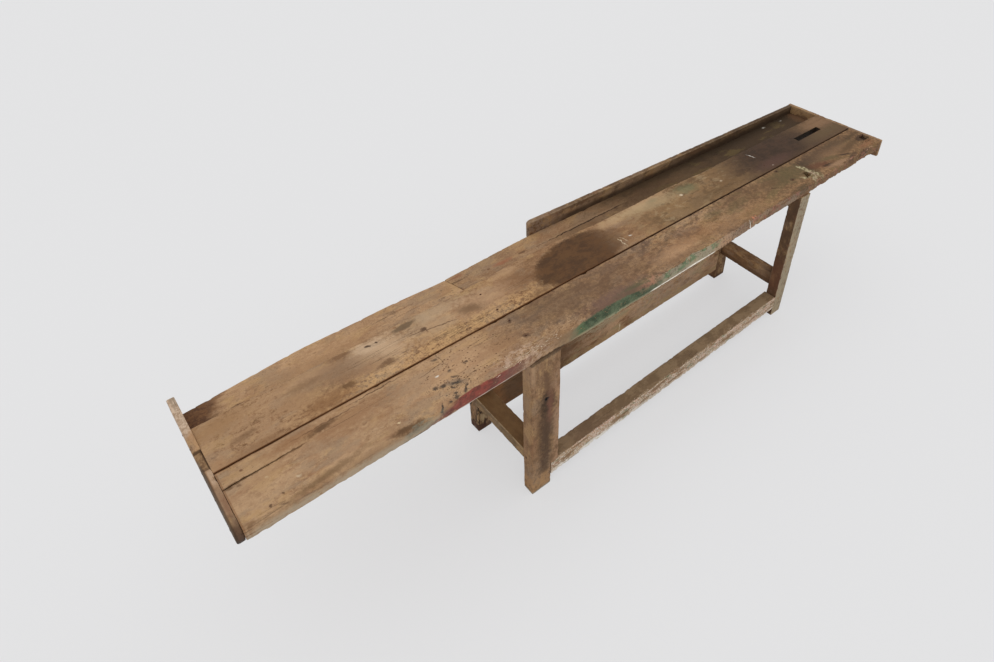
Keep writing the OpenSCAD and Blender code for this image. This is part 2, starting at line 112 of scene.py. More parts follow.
class Net:
    """A tree of nodes. One method makes each node: its settings first, then its sockets."""

    def __init__(self, tree):
        self.tree = tree

    def add(self, kind, settings=None, sockets=None, out=0):
        node = self.tree.nodes.new(kind)
        for key, value in (settings or {}).items():
            setattr(node, key, value)
        for key, value in (sockets or {}).items():
            if isinstance(value, Tone):
                self.tree.links.new(value.socket, node.inputs[key])
            else:
                node.inputs[key].default_value = value
        return Tone(self, node.outputs[out]) if node.outputs else node


def colour(red, green, blue):
    """A colour as it looks on a screen, 0 to 255, turned into the light that it stands for."""
    parts = [c / 255 for c in (red, green, blue)]
    light = [c / 12.92 if c <= 0.04045 else ((c + 0.055) / 1.055) ** 2.4 for c in parts]
    return (*light, 1.0)


floor_colour = colour(228, 228, 229)
floor_mesh = bpy.data.meshes.new("floor")
floor_mesh.from_pydata([(-40, -40, 0), (40, -40, 0), (40, 40, 0), (-40, 40, 0)], [], [(0, 1, 2, 3)])
floor = bpy.data.objects.new("floor", floor_mesh)
bpy.context.scene.collection.objects.link(floor)
floor_paint = bpy.data.materials.new("floor_paint")
floor_paint.use_nodes = True
floor_paint.node_tree.nodes.clear()
floor_net = Net(floor_paint.node_tree)
floor_seen = floor_net.add("ShaderNodeLightPath")
floor_matt = floor_net.add("ShaderNodeBsdfPrincipled", None, {"Base Color": floor_colour, "Roughness": 0.9})
floor_pale = floor_net.add("ShaderNodeEmission", None, {"Color": floor_colour, "Strength": 1.0})
floor_mix = floor_net.add("ShaderNodeMixShader", None, {0: floor_seen * 0.70, 1: floor_matt, 2: floor_pale})
floor_net.add("ShaderNodeOutputMaterial", None, {"Surface": floor_mix})
floor_mesh.materials.append(floor_paint)

room = bpy.data.worlds.new("room")
room.use_nodes = True
bpy.context.scene.world = room
room_net = Net(room.node_tree)
room.node_tree.nodes.clear()
room_path = room_net.add("ShaderNodeLightPath")
room_seen = room_net.add("ShaderNodeBackground", None, {"Color": floor_colour, "Strength": 1.0})
room_light = room_net.add("ShaderNodeBackground", None, {"Color": (1, 1, 1, 1), "Strength": 0.74})
room_mix = room_net.add("ShaderNodeMixShader", None, {0: room_path, 1: room_light, 2: room_seen})
room_net.add("ShaderNodeOutputWorld", None, {"Surface": room_mix})

lamp_data = bpy.data.lights.new("skylight", "SUN")
lamp_data.angle = math.radians(100)
lamp_data.energy = 0.78
lamp = bpy.data.objects.new("skylight", lamp_data)
lamp.rotation_euler = (math.radians(14), math.radians(-8), 0)
bpy.context.scene.collection.objects.link(lamp)
bpy.context.scene.view_settings.view_transform = "Standard"


# The front plank: 45 mm thick, sawn and planed, with the front arris worn hollow by a century of
# work. Each wooden piece is a closed skin of rings round the grain, with its arrises worn round.
def line(run, at):
    """A width, height or radius along a piece: one number, or places with a value at each."""
    if isinstance(run, (int, float)):
        return np.full_like(at, run)
    return np.interp(at, [place for place, _ in run], [value for _, value in run])


def ripple(points, along, across, seed):
    """Smooth unevenness between about -1 and 1, longer along the first axis of the points."""
    scaled = points / np.array((along, across, across)) + seed * 7.31
    return np.array([noise.noise(Vector(p)) for p in scaled])


def timber(name, grain, ends, across, thick, worn=0.003, nicks=3, uneven=0.0005, seed=1,
           shape=None, step=0.005, blunt=0.0018):
    """The skin of one piece of wood. `grain` is the axis that its fibres follow; the two axes
    after it, in the order x, y, z, are across and thick. All are in bench coordinates. `worn` is
    the radius of the arrises, or one for each: low low, high low, high high, low high."""
    order = {"x": [0, 1, 2], "y": [1, 2, 0], "z": [2, 0, 1]}[grain]
    chance = np.random.default_rng(seed)
    wears = worn if isinstance(worn, tuple) else (worn,) * 4
    worn = max(wears)
    first, last = [end[0][1] if isinstance(end, list) else end for end in ends]
    length = last - first
    breaks = [place for run in (*across, *thick) if isinstance(run, list) for place, _ in run]
    tip = 0.003 / length
    shares = set(np.linspace(tip, 1 - tip, int(length / step) + 2))
    shares |= {(b - first) / length for b in breaks if tip < (b - first) / length < 1 - tip}
    shares |= {0.0, 0.3 * tip, 1 - 0.3 * tip, 1.0}
    share = np.array(sorted(shares))
    rows = len(share)
    s = first + share * length

    def spread(width):
        middle = np.linspace(worn, width - worn, max(2, int((width - 2 * worn) / step) + 1))
        return np.concatenate([[0, 0.35 * worn, 0.7 * worn], middle,
                               [width - 0.7 * worn, width - 0.35 * worn]]) / width

    mean = [float(np.mean(line(across[1], s) - line(across[0], s))),
            float(np.mean(line(thick[1], s) - line(thick[0], s)))]
    u, v = spread(mean[0]), spread(mean[1])
    ring_u = np.concatenate([u, np.ones(len(v)), 1 - u, np.zeros(len(v))])
    ring_v = np.concatenate([np.zeros(len(u)), v, np.ones(len(u)), 1 - v])
    cols = len(ring_u)
    low_a, high_a = line(across[0], s)[:, None], line(across[1], s)[:, None]
    low_b, high_b = line(thick[0], s)[:, None], line(thick[1], s)[:, None]
    a = low_a + ring_u * (high_a - low_a)
    b = low_b + ring_v * (high_b - low_b)
    start, stop = line(ends[0], a), line(ends[1], a)
    along = start + share[:, None] * (stop - start)

    # Every arris has its own wear along the piece, and a few knocks
    radius = np.zeros((rows, 4))
    for corner in range(4):
        spots = np.stack([s, np.full(rows, corner * 3.7), np.full(rows, seed * 1.9)], axis=1)
        waver = 0.7 * ripple(spots, 0.11, 1.0, seed) + 0.4 * ripple(spots, 0.018, 1.0, seed)
        radius[:, corner] = wears[corner] * (1 + waver)
        for _ in range(int(nicks * length * 4)):
            place, reach = chance.uniform(first, last), chance.uniform(0.003, 0.016)
            depth = chance.uniform(0.0008, 0.0042)
            radius[:, corner] += depth * np.clip(1 - ((s - place) / reach) ** 2, 0, None)
    radius = np.clip(radius, 0.0012, 0.45 * min(mean))
    side = np.where(ring_u > 0.5, np.where(ring_v > 0.5, 2, 1), np.where(ring_v > 0.5, 3, 0))
    r = radius[:, side]
    # The ends are chamfered by the same wear
    near_end = [0, 0.3 * tip, tip, 1 - tip, 1 - 0.3 * tip, 1]
    shrink = blunt * np.interp(share, near_end, [1, 0.33, 0, 0, 0.33, 1])
    core_a = np.clip(a, low_a + r, high_a - r)
    core_b = np.clip(b, low_b + r, high_b - r)
    out_a, out_b = a - core_a, b - core_b
    far = np.maximum(np.hypot(out_a, out_b), 1e-6)
    reach = np.minimum(far, r) - shrink[:, None]
    out_a, out_b = out_a / far, out_b / far
    a = core_a + out_a * reach
    b = core_b + out_b * reach
    near = np.minimum(a - low_a, high_a - a) + np.minimum(b - low_b, high_b - b)
    arris = np.exp(-near / 0.006)

    points = np.stack([along, a, b], axis=2).reshape(-1, 3)
    push = ripple(points, 0.35, 0.09, seed) + 0.45 * ripple(points, 0.07, 0.03, seed + 5)
    push += 0.25 * ripple(points, 0.02, 0.009, seed + 9)
    outward = np.stack([np.zeros_like(a), out_a, out_b], axis=2).reshape(-1, 3)
    points = points + outward * (uneven * push)[:, None]
    bench = np.empty_like(points)
    bench[:, order] = points
    if shape:
        bench = shape(bench)

    faces = []
    for i in range(rows - 1):
        base = i * cols
        for k in range(cols):
            right = (k + 1) % cols
            faces.append((base + k, base + right, base + cols + right, base + cols + k))
    faces.append(tuple(reversed(range(cols))))
    faces.append(tuple(range((rows - 1) * cols, rows * cols)))
    mesh = bpy.data.meshes.new(name)
    mesh.from_pydata(bench.tolist(), [], faces)
    nearness = mesh.attributes.new("arris", "FLOAT", "POINT")
    nearness.data.foreach_set("value", arris.ravel().astype(np.float32))
    mesh.polygons.foreach_set("use_smooth", [True] * len(mesh.polygons))
    mesh.set_sharp_from_angle(angle=math.radians(42))
    piece = bpy.data.objects.new(name, mesh)
    bpy.context.scene.collection.objects.link(piece)
    return piece


def cut(piece, outlines, through="z"):
    """Cuts holes and splits out of a piece. Each outline is a closed loop in plan, or seen from
    the front, with a start and a stop, and is a little smaller at its start."""
    verts, faces = [], []
    for loop, low, high in outlines:
        n, base = len(loop), len(verts)
        area = sum(loop[i - 1][0] * loop[i][1] - loop[i][0] * loop[i - 1][1] for i in range(n))
        loop = loop if (area > 0) == (through == "z") else loop[::-1]
        middle = np.mean(loop, axis=0)
        ring = [(*(middle + (np.array(p) - middle) * 0.8), low) for p in loop] + [(*p, high) for p in loop]
        verts += ring if through == "z" else [(x, y, z) for x, z, y in ring]
        faces.append(tuple(reversed(range(base, base + n))))
        faces.append(tuple(range(base + n, base + 2 * n)))
        faces += [(base + i, base + (i + 1) % n, base + n + (i + 1) % n, base + n + i) for i in range(n)]
    mesh = bpy.data.meshes.new("cutter")
    mesh.from_pydata([tuple(map(float, v)) for v in verts], [], faces)
    cutter = bpy.data.objects.new("cutter", mesh)
    bpy.context.scene.collection.objects.link(cutter)
    modifier = piece.modifiers.new("cut", "BOOLEAN")
    modifier.operation = "DIFFERENCE"
    modifier.solver = "EXACT"
    modifier.object = cutter
    bpy.context.view_layer.update()
    result = bpy.data.meshes.new_from_object(piece.evaluated_get(bpy.context.evaluated_depsgraph_get()))
    piece.modifiers.clear()
    piece.data = result
    result.set_sharp_from_angle(angle=math.radians(42))
    bpy.data.objects.remove(cutter)
    bpy.data.meshes.remove(mesh)


class Finish(Net):
    """The look of one piece, laid on in coats. Patterns follow the piece's own grain axis."""

    def __init__(self, name, grain, shift=0.0):
        self.material = bpy.data.materials.new(name)
        self.material.use_nodes = True
        super().__init__(self.material.node_tree)
        self.tree.nodes.clear()
        self.grain = "xyz".index(grain)
        self.shift = shift
        self.place = self.add("ShaderNodeTexCoord", None, None, "Object")
        parts = self.add("ShaderNodeSeparateXYZ", None, {0: self.place})
        self.x, self.y, self.z = [Tone(self, s) for s in parts.socket.node.outputs]
        self.arris = self.add("ShaderNodeAttribute", {"attribute_name": "arris"}, None, "Fac")
        normal = self.add("ShaderNodeTexCoord", None, None, "Normal")
        facing = self.add("ShaderNodeSeparateXYZ", None, {0: normal})
        self.faces = dict(zip("xyz", [Tone(self, s) for s in facing.socket.node.outputs]))
        stir = self.noise(self.place, 34.0, 3.0, 0.6, "Color")
        stir = self.vector("SUBTRACT", stir, (0.5, 0.5, 0.5))
        self.stirred = self.vector("ADD", self.place, self.vector("MULTIPLY", stir, (0.035, 0.02, 0.02)))
        self.crags = self.noise(self.place, 62.0, 5.0, 0.75)
        self.frames = {0.0: self.stirred}

    def noise(self, where, scale, detail, rough, out="Fac"):
        return self.add("ShaderNodeTexNoise", None,
                        {"Vector": where, "Scale": scale, "Detail": detail, "Roughness": rough}, out)

    def vector(self, operation, first, second, out=0):
        return self.add("ShaderNodeVectorMath", {"operation": operation}, {0: first, 1: second}, out)

    def stretched(self, along, across, offset=0.0):
        """The place on the piece, for a pattern of so many spots to the metre along the grain and
        across it."""
        scale = [across] * 3
        scale[self.grain] = along
        moved = [self.shift * k * s + offset * d for k, s, d in zip((1.7, 1.0, 2.3), scale, (1.0, 0.6, -1.0))]
        return self.add("ShaderNodeMapping", None, {"Vector": self.place, "Location": moved, "Scale": scale})

    def grains(self, along, across, detail=3.0, rough=0.55, offset=0.0):
        """Noise of so many spots to the metre along the grain and across it."""
        return self.noise(self.stretched(along, across, offset), 1.0, detail, rough)

    def pits(self, along, across):
        """How far each place is from the middle of the nearest pit."""
        return self.add("ShaderNodeTexVoronoi", {"feature": "F1"},
                        {"Vector": self.stretched(along, across), "Scale": 1.0}, "Distance")

    def blend(self, share, under, over):
        """Mixes two colours. Each is a Tone, or red, green and blue from 0 to 255."""
        under, over = [c if isinstance(c, Tone) else colour(*c) for c in (under, over)]
        return self.add("ShaderNodeMix", {"data_type": "RGBA"}, {0: share, 6: under, 7: over}, 2)

    def coat(self, over, where, rough=None):
        """Lays a colour over what is there, where the mask is 1."""
        self.colour = self.blend(where, self.colour, over)
        if rough is not None:
            self.rough = self.rough + (rough - self.rough) * where

    def oval(self, x, y, z, long, wide, deep=0.03, turn=0.0, soft=0.35, crags=1.0):
        """A mask for a mark on the piece: an oval with a ragged, more or less soft edge."""
        turn = round(turn, 1)
        cos, sin = math.cos(turn), math.sin(turn)
        if turn not in self.frames:
            run = self.vector("DOT_PRODUCT", self.stirred, (cos, sin, 0), "Value")
            side = self.vector("DOT_PRODUCT", self.stirred, (-sin, cos, 0), "Value")
            self.frames[turn] = self.add("ShaderNodeCombineXYZ", None, {0: run, 1: side, 2: self.z})
        middle = (-(cos * x + sin * y) / long, -(cos * y - sin * x) / wide, -z / deep)
        spot = self.add("ShaderNodeVectorMath", {"operation": "MULTIPLY_ADD"},
                        {0: self.frames[turn], 1: (1 / long, 1 / wide, 1 / deep), 2: middle})
        rough = crags * (0.4 + 2.6 * soft)
        far = self.add("ShaderNodeMath", {"operation": "MULTIPLY_ADD"},
                       {0: self.crags, 1: rough, 2: self.vector("LENGTH", spot, (0, 0, 0), "Value")})
        return far.ease(1 + rough / 2 + soft, 1 + rough / 2 - soft)

    def mark(self, z, red, green, blue, x, y, long, wide, share, soft=0.8, turn=0):
        """One stain, patch or nick: its tint, place, half length, half width and strength."""
        self.coat((red, green, blue), self.oval(x, y, z, long, wide, turn=turn, soft=soft) * share)

    def marks(self, z, rows):
        """Lays on marks at one height, one over another, each a row of what `mark` takes."""
        for row in rows:
            self.mark(z, *row)

    def done(self, piece, slot, drop=0.0007, **constants):
        """Ends the tree with the height as bump, and gives the piece its material and body. The slot is not
        used.
        """
        bump = self.add("ShaderNodeBump", None, {"Strength": 1.0, "Distance": drop, "Height": self.height})
        shader = self.add("ShaderNodeBsdfPrincipled", None,
                          {"Base Color": self.colour, "Roughness": self.rough, "Normal": bump,
                           "Specular IOR Level": 0.22, **constants})
        self.add("ShaderNodeOutputMaterial", None, {"Surface": shader})
        piece.data.materials.clear()
        piece.data.materials.append(self.material)
        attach(piece, "root")


umber = (84, 60, 41)
ring_width = 0.0065


def wood(name, grain, heart, pale, brown, shift=0.0, pits=0.5, dirt=0.5, rust=0.4, ash=0.5,
         contrast=1.0):
    """Old bare wood: growth rings round a heart that lies off the piece, streaks of several
    browns, fibres, drying checks, pits and dirt that has been rubbed in."""
    f = Finish(name, grain, shift)
    sway = f.grains(1.1, 2.5, 2.0, 0.5, 3.0) - 0.5
    sway_b = f.grains(0.9, 2.5, 2.0, 0.5, 9.0) - 0.5
    first, second = [(f.x, f.y, f.z)[(f.grain + step) % 3] for step in (1, 2)]
    from_heart = f.add("ShaderNodeCombineXYZ", None, {0: first + sway * 0.09 - heart[0],
                                                      1: second + sway_b * 0.06 - heart[1]})
    distance = f.vector("LENGTH", from_heart, (0, 0, 0), "Value")
    phase = distance / ring_width + f.grains(5, 30, 2.0) * 0.9
    late = phase.fraction() ** 3
    patch = f.grains(3, 7, 4.0, 0.6, 5.0)
    cloud = f.grains(17, 27, 6.0, 0.72, 6.0)
    streak = f.grains(7, 62, 4.0, 0.62, 1.0)
    mottle = f.grains(62, 74, 5.0, 0.72, 2.0)
    speck = f.grains(170, 230, 2.0, 0.6, 8.0)
    fibre = f.grains(22, 520, 2.0, 0.6, 4.0)
    tone = patch * 0.22 + cloud * 0.36 + streak * 0.12 + mottle * 0.30
    reach = 0.085 / contrast
    f.colour = f.blend(tone.ease(0.5 - reach, 0.5 + reach), brown, pale)
    f.rough = 0.6 + mottle * 0.3
    f.coat((186, 150, 104), f.grains(9, 18, 5.0, 0.64, 21.0).ease(0.49, 0.60) * 0.5)
    f.coat((138, 98, 68), f.grains(10, 20, 5.0, 0.66, 31.0).ease(0.51, 0.62) * rust)
    f.coat((146, 122, 98), f.grains(7, 14, 5.0, 0.64, 41.0).ease(0.50, 0.61) * ash)
    f.coat(umber, late * streak.ease(0.42, 0.66) * 0.2)
    f.coat(umber, fibre.ease(0.58, 0.8) * 0.2)
    f.coat(pale, fibre.ease(0.40, 0.22) * 0.22)
    f.coat(umber, (cloud * 0.5 + mottle * 0.5).ease(0.515, 0.62) * dirt)
    f.coat(umber, speck.ease(0.57, 0.72) * 0.45)
    f.coat((206, 178, 142), speck.ease(0.40, 0.26) * 0.3)
    check = abs(f.grains(1.5, 30, 3.0, 0.5, 11.0) - 0.5).ease(0.009, 0.002)
    check = check * f.grains(3.4, 11, 2.0, 0.5, 13.0).ease(0.56, 0.64)
    f.coat((78, 54, 35), check * 0.6)
    cells, grit = f.pits(96, 120), f.pits(200, 240)
    f.coat(umber, grit.ease(0.26, 0.14) * f.grains(12, 18, 4.0, 0.6, 51.0).ease(0.5, 0.62) * pits * 0.7)
    hole = cells.ease(0.17, 0.08) * f.grains(7, 12, 3.0, 0.5, 17.0).ease(0.54, 0.64)
    f.coat((84, 58, 38), hole * pits)
    f.height = fibre * 0.3 + late * 0.25 + mottle * 0.7 + speck * 0.25 - check * 1.6 - hole * 1.2
    f.mottle, f.streak, f.cloud, f.speck, f.cells, f.grit = mottle, streak, cloud, speck, cells, grit
    # Scratches from work, at two slants to the grain
    for slant, strength in ((0.5, 0.34), (-0.75, 0.26)):
        turned = f.add("ShaderNodeMapping", {"vector_type": "TEXTURE"},
                       {"Vector": f.place, "Rotation": (0, 0, -slant), "Scale": (1 / 9, 1 / 170, 1 / 170)})
        scratch = f.noise(turned, 1.0, 2.0, 0.5)
        f.coat((204, 178, 144), scratch.ease(0.66, 0.74) * cloud.ease(0.5, 0.58) * strength)
    return f


plank_top, plank_under = 0.780, 0.735
front_edge = [(-1.603, -0.2925), (1.6077, -0.2825)]
seam_edge = [(-1.603, -0.0815), (1.5985, -0.1015)]


def wear_front(points):
    """Hollows that tools and knees have worn across the front arris, deepest at the top."""
    hollows = [(-0.918, 0.150, 0.006), (-0.319, 0.415, 0.024), (0.133, 0.130, 0.011),
               (0.521, 0.260, 0.007), (1.302, 0.230, 0.011), (1.517, 0.096, 0.008)]
    x, y, z = points[:, 0], points[:, 1], points[:, 2]
    edge = line(front_edge, x)
    drop = np.clip(1 - (plank_top - z) / 0.042, 0, 1)
    push = np.zeros(len(points))
    for middle, chord, depth in hollows:
        push += depth * np.clip(1 - ((x - middle) / (chord / 2)) ** 2, 0, 1)
    # Small bites all along, more of them to the right
    coarse = ripple(points, 0.045, 0.5, 21) + 0.6 * ripple(points, 0.016, 0.5, 22)
    more = line([(-1.6, 0.2), (-0.7, 0.6), (0.3, 1.1), (1.6, 1.6)], x)
    push += np.clip(coarse - 0.15, 0, None) * 0.006 * more
    inward = np.clip(1 - (y - edge) / 0.05, 0, 1)
    points[:, 1] += push * drop * inward
    points[:, 2] -= push * 0.25 * np.clip(1 - (y - edge) / 0.03, 0, 1) * (z > 0.76)
    # Under the hollow the lower arris has kept its wood and stands a little proud
    lip = 0.006 * line([(-0.60, 0), (-0.45, 1), (0.30, 1), (0.50, 0)], x)
    points[:, 1] -= lip * np.clip((plank_top - z) / 0.03, 0, 1) * np.clip(1 - (y - edge) / 0.03, 0, 1)
    # The lower arris is broken away at the right end
    low = np.clip(1 - (z - plank_under) / 0.016, 0, 1) * np.clip(1 - (y - edge) / 0.03, 0, 1)
    bite = np.clip(ripple(points, 0.05, 0.5, 23) + 0.6 * ripple(points, 0.018, 0.5, 24) - 0.05, 0, None)
    bite *= 0.009 * low * line([(-1.6, 0.4), (-1.1, 0.35), (-0.8, 0), (0.75, 0), (1.05, 1), (1.6, 1)], x)
    points[:, 1] += 0.5 * bite
    points[:, 2] += bite
    # The edge along the seam wanders a little
    seam = line(seam_edge, x)
    wander = 0.0012 + 0.0016 * ripple(points, 0.09, 0.5, 25) + 0.0008 * ripple(points, 0.022, 0.5, 26)
    points[:, 1] += np.clip(wander, -0.0006, 0.0026) * np.clip(1 - (seam - y) / 0.02, 0, 1)
    return points


def ragged(loop, by, seed):
    """Roughens a closed outline, so that a chiselled hole doesn't look sawn."""
    chance = np.random.default_rng(seed)
    out = []
    for i, p in enumerate(loop):
        q = loop[(i + 1) % len(loop)]
        steps = max(1, int(math.dist(p, q) / 0.006))
        for k in range(steps):
            spot = np.array(p) + (np.array(q) - np.array(p)) * k / steps
            out.append(spot + chance.uniform(-by, by, 2) * (k > 0))
    return out


def split(path, width):
    """The outline of a drying split: a wandering line, widest at its first point."""
    n = len(path)
    half = [width / 2 * (1 - i / n) for i in range(n)]
    near = [(x, y - h) for (x, y), h in zip(path, half)]
    far = [(x, y + h) for (x, y), h in zip(path, half)]
    return near + far[::-1]


front_plank = timber("front_plank", "x", (-1.6052, [(-0.2825, 1.6077), (-0.1015, 1.5985)]),
                     (front_edge, seam_edge), (plank_under, plank_top), worn=(0.003, 0.002, 0.0022, 0.007),
                     nicks=7, uneven=0.0009, seed=3, shape=wear_front, blunt=0.0012)
crack = split([(-1.62, -0.1460), (-1.56, -0.1425), (-1.50, -0.1441), (-1.46, -0.1438), (-1.43, -0.1405),
               (-1.385, -0.1440)], 0.0052)
chisel_hole = [(0.992, -0.240), (1.034, -0.236), (1.040, -0.214), (1.012, -0.196)]
break_out = [(1.54, -0.217), (1.566, -0.221), (1.62, -0.219), (1.62, -0.176), (1.572, -0.178),
             (1.545, -0.186)]
end_gap = [(-1.620, -0.30), (-1.6040, -0.30), (-1.6040, -0.07), (-1.620, -0.07)]
cut(front_plank, [(end_gap, 0.764, 0.79)])
cut(front_plank, [(crack, 0.752, 0.79), (ragged(chisel_hole, 0.0022, 2), 0.752, 0.79),
                  (ragged(break_out, 0.0025, 3), 0.764, 0.79)])

soot = (58, 51, 46)
chalk = (226, 220, 208)
f = wood("front_plank_wood", "x", (-0.20, 0.70), (192, 157, 120), (140, 106, 75), pits=0.6, dirt=0.42,
         rust=0.55, ash=0.75)
# Towards the right the plank is browner and dirtier
grime = f.grains(10, 19, 6.0, 0.7, 91.0)
film = f.grains(6, 13, 5.0, 0.66, 95.0)
f.coat((124, 92, 60), (f.x + f.cloud * 0.9).ease(0.6, 1.3) * 0.72)
f.coat((116, 90, 58), (f.x + f.cloud * 0.6).ease(1.35, 1.8) * 0.6)
f.coat((92, 66, 45), grime.ease(0.48, 0.60) * f.x.ease(-0.75, -0.3) * 0.62)
f.coat((116, 100, 64), film.ease(0.49, 0.60) * f.x.ease(0.0, 0.5) * 0.65)
f.coat((170, 138, 100), grime.ease(0.44, 0.36) * f.mottle.ease(0.48, 0.56) * f.x.ease(-0.6, 0.0) * 0.6)
f.coat((176, 143, 110), f.x.ease(-0.75, -1.15) * film.ease(0.36, 0.56) * 0.42)
f.coat((100, 82, 72), film.ease(0.48, 0.41) * f.x.band(-0.80, -0.55, 0.2, 0.7) * 0.55)
f.coat((128, 92, 60), (f.x + f.cloud * 0.4).ease(1.05, 1.5) * 0.4)
f.coat((168, 132, 96), f.mottle.ease(0.52, 0.60) * f.x.ease(-0.8, -0.4) * 0.45)
f.coat((78, 58, 40), f.mottle.ease(0.48, 0.41) * f.x.ease(-0.8, -0.4) * 0.45)
